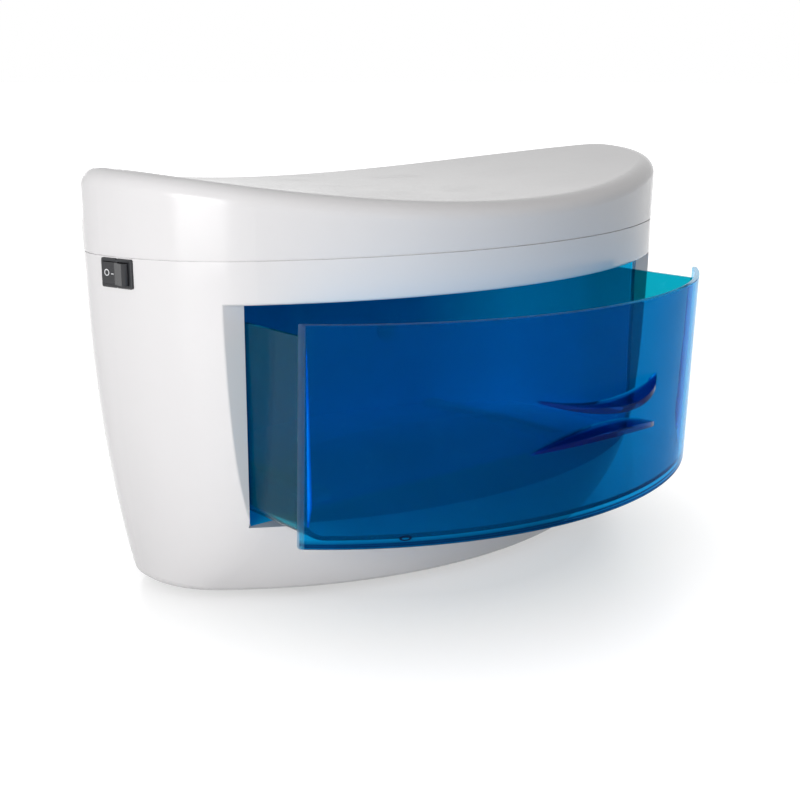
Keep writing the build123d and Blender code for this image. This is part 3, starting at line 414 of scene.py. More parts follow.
def settled_dust():
    """Mask of dust that settles on what faces up."""
    tree, given, out = new_group(
        "ShaderNodeTree", "settled_dust", dict(Vector="Vector", Amount=0.2, Grain=0.0015),
        dict(Dust="Float"))
    facing = add(tree, "ShaderNodeNewGeometry").outputs["Normal"]
    up = remap(tree, split(tree, facing)["Z"], 0.35, 1.0)
    specks = noise(tree, given["Vector"], calc(tree, "DIVIDE", 1.0, given["Grain"]), 4.0,
                   Roughness=0.7)
    drift = remap(tree, specks, 0.45, 0.75)
    feed(tree, out["Dust"], product(tree, up, drift, given["Amount"]))
    return tree


GROUPS = {}


def group(maker):
    """The shared group that this function builds, built once."""
    if maker.__name__ not in GROUPS:
        GROUPS[maker.__name__] = maker()
    return GROUPS[maker.__name__]


def new_finish(name, **plain):
    """Material with one Principled shader and object coordinates."""
    material = bpy.data.materials.new(name)
    material.use_nodes = True
    tree = material.node_tree
    shader = tree.nodes["Principled BSDF"]
    for key, value in plain.items():
        shader.inputs[key.replace("_", " ")].default_value = value
    where = add(tree, "ShaderNodeTexCoord").outputs["Object"]
    return material, tree, shader, where


def opaque(rgb):
    return (*rgb, 1.0)


def surface(tree, shader, tint, rough, height, strength, distance):
    """Feeds colour, roughness and relief to a shader."""
    feed(tree, shader.inputs["Base Color"], tint)
    feed(tree, shader.inputs["Roughness"], rough)
    bump = add(tree, "ShaderNodeBump", Height=height, Strength=strength, Distance=distance)
    feed(tree, shader.inputs["Normal"], bump.outputs[0])


def dusted(tree, where, tint, amount, dust):
    """Tint with settled dust on it, where there is any."""
    if amount == 0.0:
        return tint
    film = placed(tree, settled_dust, Vector=where, Amount=amount)
    return mixed(tree, film["Dust"], tint, dust)


def worn(tree, wear, rough, scratch, haze):
    """Roughness raised by scratches and by haze."""
    rough = calc(tree, "MULTIPLY_ADD", wear["Scratch"], scratch, rough)
    return calc(tree, "MULTIPLY_ADD", wear["Haze"], haze, rough, clamp=True)


def plastic(name, rgb, roughness, grain=0.0006, shade=0.03, spread=0.06, relief=0.10,
            scratches=0.35, dust=0.0, **plain):
    """Moulded plastic or rubber with handling marks."""
    material, tree, shader, where = new_finish(name, **plain)
    skin = placed(tree, moulded_skin, Vector=where, Grain=grain, Color=opaque(rgb),
                  Shade=shade, Roughness=roughness, Spread=spread)
    wear = placed(tree, handling_wear, Vector=where, Scratches=scratches, Size=0.03)
    tint = dusted(tree, where, skin["Color"], dust, PALE_DUST)
    rough = worn(tree, wear, skin["Roughness"], 0.25, 0.04)
    height = calc(tree, "MULTIPLY_ADD", wear["Scratch"], -0.4, skin["Height"])
    surface(tree, shader, tint, rough, height, relief, 0.0002)
    return material


def metal(name, rgb, roughness, stretch=(0.03, 1.0, 1.0), line=0.0004, spread=0.2,
          relief=0.12, dust=0.0):
    """Rolled, drawn or plated metal."""
    material, tree, shader, where = new_finish(name, Metallic=1.0)
    lines = placed(tree, brushed_lines, Vector=where, Line_Size=line, Stretch=stretch,
                   Color=opaque(rgb), Roughness=roughness, Spread=spread)
    wear = placed(tree, handling_wear, Vector=where, Scratches=0.5, Size=0.02)
    tint = dusted(tree, where, lines["Color"], dust, GREY_DUST)
    rough = calc(tree, "MULTIPLY_ADD", wear["Scratch"], 0.2, lines["Roughness"], clamp=True)
    surface(tree, shader, tint, rough, lines["Height"], relief, 0.0001)
    return material


def see_through(name, rgb, clear, roughness, ior, edges=None):
    """Tinted clear moulding with scuffs and a faint flow ripple."""
    material, tree, shader, where = new_finish(
        name, Metallic=0.0, Transmission_Weight=clear, IOR=ior)
    skin = placed(tree, moulded_skin, Vector=where, Grain=0.03, Color=opaque(rgb),
                  Shade=0.10, Roughness=roughness, Spread=0.03)
    wear = placed(tree, handling_wear, Vector=where, Scratches=0.8, Size=0.018)
    tint = mixed(tree, product(tree, wear["Scratch"], 0.25), skin["Color"], SCUFF)
    rough = worn(tree, wear, skin["Roughness"], 0.30, 0.03)
    # The edges may paint shade on a lip and a low line, and a pale highlight on rims.
    if edges is not None:
        tint, rim, coat = edges(tree, where, tint)
        feed(tree, shader.inputs["Coat Weight"], coat)
        rough = calc(tree, "MULTIPLY_ADD", rim, 0.75, rough, clamp=True)
    surface(tree, shader, tint, rough, skin["Height"], 0.06, 0.0008)
    return material


def lamp_glass(rgb):
    """Clear quartz with faint draw lines."""
    material, tree, shader, where = new_finish(
        "lamp_quartz", Transmission_Weight=1.0, IOR=1.46, Metallic=0.0)
    lines = placed(tree, brushed_lines, Vector=where, Line_Size=0.002,
                   Stretch=(0.02, 1.0, 1.0), Color=opaque(rgb), Roughness=0.03, Spread=0.03)
    tint = mixed(tree, 0.15, opaque(rgb), lines["Color"])
    surface(tree, shader, tint, lines["Roughness"], lines["Height"], 0.05, 0.0004)
    return material


def painted_glow_across(material, left, right):
    """Painted light: glow on a lining that stands in for the light the tinted walls pass on,
    more of it on the right.
    """
    tree = material.node_tree
    x = split(tree, add(tree, "ShaderNodeTexCoord").outputs["Object"])["X"]
    glow = mixed(tree, remap(tree, x, PAINTED_GLOW_FROM, PAINTED_GLOW_TO), opaque(left), opaque(right))
    feed(tree, tree.nodes["Principled BSDF"].inputs["Emission Color"], glow)
    return material


def sheet_edges(tree, where, tint):
    """Tint with painted shade on its lip and a painted dark low line, darker pulls, and
    frosted rims painted pale as a highlight, and masks of rims and pulls.
    """
    spot = split(tree, where)
    # Painted shade: the lip is tinted darker.
    tint = mixed(tree, remap(tree, spot["Z"], SHADED_LIP_FROM, SHADED_LIP_TO), tint, LIP_PAINTED_SHADE)
    # Painted shade: a dark line where the tub's lower edge shows through the front.
    off = calc(tree, "ABSOLUTE", less(tree, spot["Z"], PAINTED_LINE_HEIGHT))
    tint = mixed(tree, remap(tree, off, 0.0008, 0.0003), tint, LINE_PAINTED_SHADE)
    axis = calc(tree, "MULTIPLY_ADD", spot["Z"], -FRONT_LEAN, FRONT_AXIS)
    out = length_of(tree, vector_of(tree, spot["X"], less(tree, spot["Y"], axis)))
    pull = remap(tree, out, FRONT_BOW + 0.0006, FRONT_BOW + 0.0022)
    tint = mixed(tree, pull, tint, PULL_TINT)
    # The rims are frosted, and painted pale as a highlight on them.
    side = calc(tree, "ABSOLUTE", spot["X"])
    rim = calc(tree, "MAXIMUM",
               remap(tree, side, FRONT_HALF - 0.0010, FRONT_HALF - 0.0005),
               remap(tree, spot["Z"], FRONT_TOP - 0.0007, FRONT_TOP - 0.0003))
    return mixed(tree, rim, tint, RIM_FROST_AND_HIGHLIGHT), rim, product(tree, pull, 0.08)


def dress(material, *nodes):
    """Gives solids their finish."""
    for node in nodes:
        slots = NODES[node].data.materials
        slots.clear()
        slots.append(material)


# ---------------------------------------------------------------- made pieces
def keep(piece, body, slot, *stands_for):
    """Ties a finished piece to its body and hides the solids it stands for; the finish slot
    is not used.
    """
    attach(piece, body)
    if stands_for:
        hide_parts(*stands_for)


def place_of(origin, along, out):
    """Matrix of a plane with X along, Z out, at an origin."""
    x, z = Vector(along).normalized(), Vector(out).normalized()
    y = z.cross(x)
    turned = Matrix((x, y, z)).transposed().to_4x4()
    return Matrix.Translation(Vector(origin)) @ turned


def linked(name, data):
    """Object with this data, in the scene."""
    thing = bpy.data.objects.new(name, data)
    bpy.context.scene.collection.objects.link(thing)
    return thing


def link_piece(name, mesh):
    """Puts a mesh in the scene at the origin, shaded smooth up to 30 degrees."""
    mesh.shade_smooth()
    mesh.set_sharp_from_angle(angle=math.radians(30.0))
    return linked(name, mesh)


def mesh_piece(name, form, material):
    """Object made from a bmesh."""
    bmesh.ops.recalc_face_normals(form, faces=form.faces)
    mesh = bpy.data.meshes.new(name)
    form.to_mesh(mesh)
    form.free()
    mesh.materials.append(material)
    return link_piece(name, mesh)


def around(steps):
    """Cosine and sine at even steps round a circle."""
    turns = [2 * math.pi * step / steps for step in range(steps)]
    return [(math.cos(turn), math.sin(turn)) for turn in turns]


def band(form, one, two):
    """Faces between two closed rings of as many points."""
    for index in range(len(one)):
        after = (index + 1) % len(one)
        form.faces.new((one[index], one[after], two[after], two[index]))


def tube(form, place, outer, inner, long, steps=32):
    """Adds an open tube with a wall, along the place's Z."""
    rings = [[form.verts.new(place @ Vector((radius * x, radius * y, end * long)))
              for x, y in around(steps)]
             for radius, end in ((outer, -0.5), (outer, 0.5), (inner, 0.5), (inner, -0.5))]
    for index in range(4):
        band(form, rings[index], rings[(index + 1) % 4])


def bar(form, place, long, wide, high, steps=8):
    """Adds a flat bar with round ends, along the place's X."""
    outline = []
    for side, start in ((1, -0.5), (-1, 0.5)):
        for step in range(steps + 1):
            turn = math.pi * (start + step / steps)
            outline.append((side * (long - wide) / 2 + wide / 2 * math.cos(turn),
                            wide / 2 * math.sin(turn)))
    low, top = ([form.verts.new(place @ Vector((x, y, level))) for x, y in outline]
                for level in (-high / 2, high / 2))
    form.faces.new(low)
    form.faces.new(top)
    band(form, low, top)


def front_axis(z):
    """Y of the axis that the drawer's front is bowed about, at a height."""
    return FRONT_AXIS - FRONT_LEAN * z


def front_face(x, z, bow):
    """Y of the bowed front at a place across it and a height."""
    return front_axis(z) - math.sqrt(bow * bow - x * x)


def bead(form, side, radius, steps=40, sides=12):
    """Tapered bead of cement up the corner between the tub's side and the front, which also
    stands in for the corner's highlight.
    """
    rings = []
    for step in range(steps + 1):
        rise = step / steps
        z = BEAD_LOW + BEAD_RISE * rise
        taper = BEAD_TIP + (1.0 - BEAD_TIP) * (1.0 - rise) ** 0.8
        swell = radius * taper * min(1.0, 0.35 + 6 * rise)
        x = side * (TUB_HALF_INSIDE - TUB_DRAFT * (TUB_TOP - z) - swell)
        y = front_face(x, z, FRONT_BOW - FRONT_WALL) + swell + BEAD_CLEAR
        rings.append([form.verts.new((x + swell * across, y + swell * back, z))
                      for across, back in around(sides)])
    for low, high in zip(rings, rings[1:]):
        band(form, low, high)
    form.faces.new(rings[0])
    form.faces.new(rings[-1])


# ---------------------------------------------------------------- repeated forms
def seed_points(places):
    """Mesh with one point for each matrix, its turn kept as an attribute."""
    mesh = bpy.data.meshes.new("seed")
    mesh.from_pydata([place.to_translation() for place in places], [], [])
    turns = mesh.attributes.new("turn", "FLOAT_VECTOR", "POINT")
    for index, place in enumerate(places):
        turns.data[index].vector = place.to_euler()
    return mesh


def grown(name, maker, places, **values):
    """Grows a geometry tree at each place and keeps the result as a plain mesh."""
    tree = group(maker)
    stem = linked(name + "_seed", seed_points(places))
    modifier = stem.modifiers.new("grow", "NODES")
    modifier.node_group = tree
    for item in tree.interface.items_tree:
        key = item.name.replace(" ", "_")
        if item.in_out == "INPUT" and key in values:
            modifier[item.identifier] = values[key]
    graph = bpy.context.evaluated_depsgraph_get()
    mesh = bpy.data.meshes.new_from_object(stem.evaluated_get(graph), depsgraph=graph)
    stem.modifiers.remove(modifier)
    bpy.data.objects.remove(stem)
    mesh.name = name
    return link_piece(name, mesh)


def geometry_group(name, inputs):
    """Geometry tree with a geometry socket each way, and named inputs."""
    return new_group("GeometryNodeTree", name,
                     {"Geometry": "Geometry", **inputs, "Material": "Material"},
                     {"Geometry": "Geometry"})


def repeated(tree, points, instance, **more):
    """One instance on each point."""
    return add(tree, "GeometryNodeInstanceOnPoints", Points=points, Instance=instance,
               **more).outputs[0]


def finish_tree(tree, given, out, parts):
    """Puts the joined parts on each seed, turned as the seed is, and paints them."""
    whole = add(tree, "GeometryNodeJoinGeometry")
    for part in parts:
        tree.links.new(part, whole.inputs[0])
    turn = add(tree, "GeometryNodeInputNamedAttribute", {"data_type": "FLOAT_VECTOR"},
               Name="turn")
    rotation = add(tree, "FunctionNodeEulerToRotation")
    feed(tree, rotation.inputs[0], turn.outputs[0])
    each = repeated(tree, given["Geometry"], whole.outputs[0], Rotation=rotation.outputs[0])
    real = add(tree, "GeometryNodeRealizeInstances", Geometry=each)
    painted = add(tree, "GeometryNodeSetMaterial", Geometry=real.outputs[0],
                  Material=given["Material"])
    feed(tree, out["Geometry"], painted.outputs[0])
    return tree


def moved(tree, geometry, x=0.0, y=0.0, z=0.0):
    """Geometry moved along each axis."""
    return add(tree, "GeometryNodeTransform", Geometry=geometry,
               Translation=vector_of(tree, x, y, z)).outputs[0]


def block(tree, x, y, z):
    """Block about the origin."""
    return add(tree, "GeometryNodeMeshCube", Size=vector_of(tree, x, y, z)).outputs["Mesh"]


def rod(tree, sides, radius, long):
    """Upright rod about the origin."""
    return add(tree, "GeometryNodeMeshCylinder", Vertices=sides, Radius=radius,
               Depth=long).outputs["Mesh"]


def helix(tree, steps, turns, radius, rise):
    """Helix of one radius that starts at the origin's level."""
    return add(tree, "GeometryNodeCurveSpiral", Resolution=steps, Rotations=turns,
               Start_Radius=radius, End_Radius=radius, Height=rise).outputs[0]


def wire_along(tree, path, radius, sides, caps=True):
    """Wire that follows a path."""
    ring = add(tree, "GeometryNodeCurvePrimitiveCircle", Resolution=sides, Radius=radius)
    return add(tree, "GeometryNodeCurveToMesh", Curve=path,
               Profile_Curve=ring.outputs["Curve"], Fill_Caps=caps).outputs[0]


def row_of(tree, count, start, step):
    """Row of points, a step apart."""
    return add(tree, "GeometryNodeMeshLine", Count=count, Start_Location=start,
               Offset=step).outputs[0]


def screw_tree():
    """Screws: domed or countersunk head with a recess, a shank and a thread."""
    tree, given, out = geometry_group("screw_set", {
        "Head Radius": 0.003, "Under Radius": 0.003, "Head Height": 0.002, "Stand": 0.0,
        "Dome": 0.0005, "Shank Radius": 0.0015, "Shank Length": 0.009,
        "Thread Pitch": 0.0006, "Recess Length": 0.0034, "Recess Width": 0.0007,
        "Recess Depth": 0.0011, "Cross": True})
    radius, long = given["Shank Radius"], given["Shank Length"]
    head = add(tree, "GeometryNodeMeshCone", {"fill_type": "NGON"}, Vertices=40,
               Side_Segments=2, Fill_Segments=6, Radius_Top=given["Head Radius"],
               Radius_Bottom=given["Under Radius"], Depth=given["Head Height"])
    spot = split(tree, add(tree, "GeometryNodeInputPosition").outputs[0])
    flat = length_of(tree, vector_of(tree, spot["X"], spot["Y"]))
    reach = calc(tree, "DIVIDE", flat, given["Head Radius"])
    top = calc(tree, "DIVIDE", spot["Z"], given["Head Height"])
    drop = product(tree, calc(tree, "POWER", reach, 3.0), given["Dome"], top, -1.0)
    domed = add(tree, "GeometryNodeSetPosition", Geometry=head.outputs["Mesh"],
                Offset=vector_of(tree, z=drop))
    seated = moved(tree, domed.outputs[0],
                   z=less(tree, given["Stand"], given["Head Height"]))
    deep = product(tree, given["Recess Depth"], 2.0)
    slots = [moved(tree, block(tree, given[x], given[y], deep), z=given["Stand"])
             for x, y in (("Recess Length", "Recess Width"),
                          ("Recess Width", "Recess Length"))]
    choice = add(tree, "GeometryNodeSwitch", {"input_type": "GEOMETRY"},
                 Switch=given["Cross"])
    feed(tree, choice.inputs["True"], slots[1])
    for slot in (slots[0], choice.outputs[0]):
        cut = add(tree, "GeometryNodeMeshBoolean",
                  {"operation": "DIFFERENCE", "solver": "EXACT"})
        feed(tree, cut.inputs["Mesh 1"], seated)
        feed(tree, cut.inputs["Mesh 2"], slot)
        seated = cut.outputs[0]
    shank = moved(tree, rod(tree, 20, product(tree, radius, CORE_SHARE), long),
                  z=product(tree, long, -0.5))
    path = helix(tree, 18, calc(tree, "DIVIDE", long, given["Thread Pitch"]),
                 product(tree, radius, LINE_SHARE), product(tree, long, -THREADED_SHARE))
    thread = wire_along(tree, path, product(tree, radius, RIDGE_SHARE), 3)
    return finish_tree(tree, given, out, (seated, shank, thread))


def sheet_stack_tree():
    """Stack of thin steel sheets with a window through the middle ones."""
    tree, given, out = geometry_group("sheet_stack", {
        "Length": 0.078, "Height": 0.026, "Count": 68, "Pitch": 0.0005, "Open Share": 0.12,
        "Window Wide": 0.017, "Window Low": 0.0071, "Window High": 0.0179})
    y = split(tree, add(tree, "GeometryNodeInputPosition").outputs[0])["Y"]
    span = product(tree, less(tree, given["Count"], 1.0), given["Pitch"])
    row = row_of(tree, given["Count"], vector_of(tree, y=product(tree, span, -0.5)),
                 vector_of(tree, y=given["Pitch"]))
    outside = add(tree, "FunctionNodeCompare", {"operation": "GREATER_THAN"},
                  A=calc(tree, "ABSOLUTE", y),
                  B=product(tree, given["Window Wide"], 0.5)).outputs[0]
    turned = add(tree, "FunctionNodeBooleanMath", {"operation": "NOT"})
    feed(tree, turned.inputs[0], outside)
    inside = turned.outputs[0]
    thick = product(tree, given["Pitch"], less(tree, 1.0, given["Open Share"]))
    stacks = []
    for low, high, chosen in ((0.0, given["Height"], outside),
                              (0.0, given["Window Low"], inside),
                              (given["Window High"], given["Height"], inside)):
        sheet = block(tree, given["Length"], thick, less(tree, high, low))
        middle = product(tree, calc(tree, "ADD", high, low), 0.5)
        stacks.append(repeated(tree, row, moved(tree, sheet, z=middle), Selection=chosen))
    return finish_tree(tree, given, out, stacks)


def winding_tree():
    """Layers of enamelled wire bent round a long block."""
    tree, given, out = geometry_group("winding", {
        "Length": 0.09, "Width": 0.017, "Height": 0.0108, "Wire Radius": 0.00032,
        "Corner": 0.006})
    across = product(tree, given["Wire Radius"], 2.0)
    layers = calc(tree, "FLOOR", calc(tree, "DIVIDE", given["Height"], across))
    low = product(tree, less(tree, layers, 1.0), across, -0.5)
    path = add(tree, "GeometryNodeCurvePrimitiveQuadrilateral",
               Width=less(tree, given["Length"], across),
               Height=less(tree, given["Width"], across))
    soft = add(tree, "GeometryNodeFilletCurve", {"mode": "POLY"}, Curve=path.outputs[0],
               Radius=given["Corner"], Count=6, Limit_Radius=True)
    turn = wire_along(tree, soft.outputs[0], given["Wire Radius"], 8, caps=False)
    row = row_of(tree, layers, vector_of(tree, z=low), vector_of(tree, z=across))
    wrap = product(tree, across, 1.2)
    tape = block(tree, less(tree, given["Length"], wrap), less(tree, given["Width"], wrap),
                 less(tree, given["Height"], across))
    return finish_tree(tree, given, out, (repeated(tree, row, turn), tape))


def filament_tree():
    """Coiled filament between two support wires."""
    tree, given, out = geometry_group("filament", {
        "Radius": 0.0011, "Turns": 9, "Span": 0.007, "Wire": 0.00012, "Post Length": 0.012})
    path = helix(tree, 20, given["Turns"], given["Radius"], given["Span"])
    half = product(tree, given["Span"], -0.5)
    coil = moved(tree, wire_along(tree, path, given["Wire"], 6), z=half)
    upright = rod(tree, 10, product(tree, given["Wire"], 2.4), given["Post Length"])
    post = add(tree, "GeometryNodeTransform", Geometry=upright,
               Rotation=(0.0, math.pi / 2.0, 0.0)).outputs[0]
    back = product(tree, given["Post Length"], 0.5)
    posts = [moved(tree, post, back, given["Radius"], level)
             for level in (half, product(tree, half, -1.0))]
    return finish_tree(tree, given, out, (coil, *posts))


# ---------------------------------------------------------------- operators
class CaseStep(bpy.types.Operator):
    """Base of the steps that dress the case, each from the settings in its store"""
    bl_options = {"REGISTER", "UNDO"}

    def execute(self, context):
        self.make(getattr(context.scene, self.store))
        return {"FINISHED"}


class DressShell(CaseStep):
    """Paint the housing, the cover, the base plate, the feet and the buffers"""
    bl_idname = "sterilizer.dress_shell"
    bl_label = "Shell and base"
    store = "sterilizer_shell"

    def make(self, sizes):
        dress(plastic("gloss_white_shell", sizes.shell_colour, sizes.shell_gloss,
                      grain=sizes.grain, shade=0.02, spread=0.05, relief=0.05,
                      scratches=0.25, dust=0.03, Specular_IOR_Level=0.36),
              "main_housing", "top_cover")
        dress(plastic("satin_white_base", sizes.base_colour, 0.52, grain=0.0004, shade=0.05,
                      relief=0.35, scratches=0.6), "base_plate")
        dress(plastic("foot_rubber", sizes.rubber_colour, 0.78, grain=0.0008, shade=0.25,
                      relief=0.5, scratches=0.1, dust=0.15), "rubber_feet")
        dress(plastic("buffer_blue", sizes.buffer_colour, 0.25, grain=0.0008, shade=0.10,
                      relief=0.15), "closing_buffers")


class DressDrawer(CaseStep):
    """Tint the drawer and finish the chamber that it slides in"""
    bl_idname = "sterilizer.dress_drawer"
    bl_label = "Drawer and chamber"
    store = "sterilizer_drawer"

    def make(self, sizes):
        dress(see_through("clear_blue_tub", sizes.tub_colour, sizes.tub_clear, 0.03, 1.16),
              "drawer_tub")
        dress(see_through("clear_blue_front", sizes.front_colour, sizes.front_clear, 0.02,
                          1.05, sheet_edges), "drawer_front")
        # Painted light: the lining glows, more on the right, where light through the tinted
        # walls would fall.
        lining = plastic("chamber_blue", sizes.chamber_colour, 0.22, shade=0.12, relief=0.08,
                         scratches=0.5, dust=0.02, Emission_Strength=1.0)
        dress(painted_glow_across(lining, PAINTED_GLOW_LEFT, PAINTED_GLOW_RIGHT), "drawer_chamber")
        # Painted light: the strips glow faintly blue, standing in for light through the blue
        # drawer.
        dress(plastic("strip_plastic", sizes.strip_colour, 0.38, shade=0.06, relief=0.2,
                      scratches=0.9, Emission_Color=PAINTED_GLOW_STRIPS, Emission_Strength=0.10),
              "slide_strips")


class DressLamp(CaseStep):
    """Finish the lamp deck, the reflector and the lamp, and add its filaments"""
    bl_idname = "sterilizer.dress_lamp"
    bl_label = "Lamp and deck"
    store = "sterilizer_lamp"

    def make(self, sizes):
        dress(metal("zinc_sheet", sizes.deck_colour, 0.38, dust=0.10),
              "lamp_deck", "ballast_frame")
        dress(metal("bright_reflector", sizes.reflector_colour, 0.10, line=0.0003,
                    spread=0.08, relief=0.05), "reflector")
        dress(metal("cap_metal", sizes.cap_colour, 0.28, stretch=(1.0, 0.05, 0.05)),
              "lamp_end_caps")
        dress(metal("guard_wire", sizes.wire_colour, 0.22, relief=0.2), "lamp_guard")
        dress(plastic("holder_plastic", sizes.holder_colour, 0.34, shade=0.05, relief=0.2),
              "lamp_holders", "starter_socket")
        dress(lamp_glass(sizes.glass_colour), "lamp_tube")
        ends = ((LAMP_LOW.x + FILAMENT_INSET, math.pi), (LAMP_HIGH.x - FILAMENT_INSET, 0.0))
        filaments = grown(
            "lamp_filaments", filament_tree,
            [Matrix.Translation((x, LAMP_AXIS.y, LAMP_AXIS.z)) @ Matrix.Rotation(turn, 4, "Z")
             for x, turn in ends],
            Radius=sizes.filament_radius, Turns=sizes.filament_turns,
            Material=metal("filament_wire", (0.30, 0.29, 0.28), 0.35))
        keep(filaments, "case", "cap_metal")


class DressGear(CaseStep):
    """Build the ballast's sheets and winding, and finish the starter and terminals"""
    bl_idname = "sterilizer.dress_gear"
    bl_label = "Ballast, starter and terminals"
    store = "sterilizer_gear"

    def make(self, sizes):
        size, middle = BALLAST_HIGH - BALLAST_LOW, (BALLAST_HIGH + BALLAST_LOW) / 2
        core = grown(
            "ballast_sheets", sheet_stack_tree,
            [Matrix.Translation((middle.x, middle.y, BALLAST_LOW.z))],
            Length=size.x, Height=size.z, Pitch=sizes.sheet_pitch,
            Count=int(size.y / sizes.sheet_pitch), Open_Share=sizes.sheet_gap,
            Window_Wide=COIL_HIGH.y - COIL_LOW.y, Window_Low=COIL_LOW.z - BALLAST_LOW.z,
            Window_High=COIL_HIGH.z - BALLAST_LOW.z,
            Material=metal("core_steel", sizes.sheet_colour, 0.48, stretch=(0.05, 1.0, 1.0)))
        keep(core, "case", "core_steel", "ballast_core")
        size = COIL_HIGH - COIL_LOW
        coil = grown(
            "ballast_winding", winding_tree,
            [Matrix.Translation((COIL_HIGH + COIL_LOW) / 2)],
            Length=size.x, Width=size.y, Height=size.z, Wire_Radius=sizes.wire_radius,
            Material=plastic("wire_enamel", sizes.wire_colour, 0.22, shade=0.2, relief=0.1))
        keep(coil, "case", "coil_wrap", "ballast_coil")
        dress(plastic("starter_can", sizes.starter_colour, 0.34, shade=0.05, relief=0.15),
              "starter")
        dress(plastic("terminal_plastic", sizes.terminal_colour, 0.40, shade=0.06,
                      relief=0.2), "terminal_block")
        brass = metal("pin_brass", sizes.brass_colour, 0.26)
        dress(brass, "inlet_pins", "switch_blades")
        self.terminals(brass)

    def terminals(self, brass):
        """Brass sleeve and slotted screw in each way of the strip."""
        size, middle = TERMINAL_HIGH - TERMINAL_LOW, (TERMINAL_HIGH + TERMINAL_LOW) / 2
        pitch = size.x / TERMINAL_WAYS
        outer = pitch / 5 - SLEEVE_CLEAR
        sleeves, screws = bmesh.new(), []
        for way in range(TERMINAL_WAYS):
            x = TERMINAL_LOW.x + pitch * (way + 0.5)
            place = place_of((x, middle.y, middle.z), (1, 0, 0), (0, 1, 0))
            tube(sleeves, place, outer, outer - SLEEVE_WALL, size.y * 0.7)
            screws.append(Matrix.Translation((x, middle.y - size.y / 4,
                                              TERMINAL_HIGH.z - TERMINAL_SCREW_SUNK)))
        sleeve_piece = mesh_piece("terminal_sleeves", sleeves, brass)
        keep(sleeve_piece, "case", "pin_metal")
        screw_piece = grown("terminal_screws", screw_tree, screws, **TERMINAL_SCREW,
                            Material=brass)
        keep(screw_piece, "case", "pin_metal")


class DressSwitch(CaseStep):
    """Finish the rocker switch and the inlet, and print the switch marks"""
    bl_idname = "sterilizer.dress_switch"
    bl_label = "Switch and inlet"
    store = "sterilizer_switch"

    def make(self, sizes):
        dress(plastic("black_plastic", sizes.body_colour, 0.32, grain=0.0003, shade=0.15,
                      relief=0.25, scratches=0.5), "switch_body", "power_inlet")
        dress(plastic("rocker_black", sizes.rocker_colour, 0.20, shade=0.1, relief=0.08,
                      scratches=0.5), "switch_rocker")
        ink = plastic("mark_ink", sizes.mark_colour, 0.5, grain=0.0002, shade=0.08,
                      relief=0.2)
        face = (place_of(SWITCH_AT, SWITCH_ALONG, SWITCH_OUT)
                @ Matrix.Translation((0, 0, ROCKER_PIVOT))
                @ Matrix.Rotation(ROCKER_TURN, 4, "Y")
                @ Matrix.Translation((0, 0, ROCKER_VALLEY))
                @ Matrix.Rotation(-ROCKER_TURN, 4, "Y"))
        ring_at, bar_at = (face @ Matrix.Translation((*at, sizes.mark_height / 2))
                           for at in (RING_AT, BAR_AT))
        form = bmesh.new()
        tube(form, ring_at, sizes.ring_radius, sizes.ring_radius - sizes.mark_stroke,
             sizes.mark_height, steps=48)
        bar(form, bar_at, sizes.bar_length, sizes.mark_stroke, sizes.mark_height)
        keep(mesh_piece("switch_marks", form, ink), "rocker", "rocker_black")


class FitScrews(CaseStep):
    """Put real screws in place of the plain ones"""
    bl_idname = "sterilizer.fit_screws"
    bl_label = "Screws"
    store = "sterilizer_screws"

    def make(self, sizes):
        common = dict(
            Head_Radius=sizes.head_radius, Under_Radius=sizes.head_radius,
            Head_Height=sizes.head_height, Dome=0.0005, Shank_Radius=sizes.shank_radius,
            Shank_Length=sizes.shank_length, Thread_Pitch=sizes.thread_pitch,
            Recess_Length=sizes.recess_length, Recess_Width=sizes.recess_width,
            Recess_Depth=0.0011, Cross=True,
            Material=metal("zinc_screw", sizes.steel_colour, 0.30, stretch=(1.0, 1.0, 1.0)))
        quarters = [(sx, sy) for sx in (-1, 1) for sy in (-1, 1)]
        x, y = BASE_SCREW_AT
        down = [place_of((sx * x, sy * y, HOUSING_FOOT), (1, 0, 0), (0, 0, -1))
                for sx, sy in quarters]
        x, y = DECK_SCREW_AT
        up = [Matrix.Translation((sx * x, sy * y, DECK_TOP)) for sx, sy in quarters]
        x, y, z = COVER_SCREW_AT
        nx, ny, _ = COVER_SCREW_OUT
        back = [place_of((side * x, y, z), (0, 0, 1), (side * nx, ny, 0))
                for side in (-1, 1)]
        flat = {**common, "Under_Radius": sizes.shank_radius, "Dome": 0.0}
        sets = (("base_screws", down, self.pan(common, "base_screws")),
                ("deck_screws", up, self.pan(common, "deck_screws")),
                ("cover_screws", back, flat))
        for node, places, values in sets:
            piece = grown(node + "_cut", screw_tree, places, **values)
            keep(piece, "case", "zinc_screw", node)

    def pan(self, common, node):
        """Values of a pan-head set, its heads as far out as the solids'."""
        low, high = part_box(node)
        out = high.z - DECK_TOP if node == "deck_screws" else HOUSING_FOOT - low.z
        return {**common, "Stand": max(out, 0.0)}


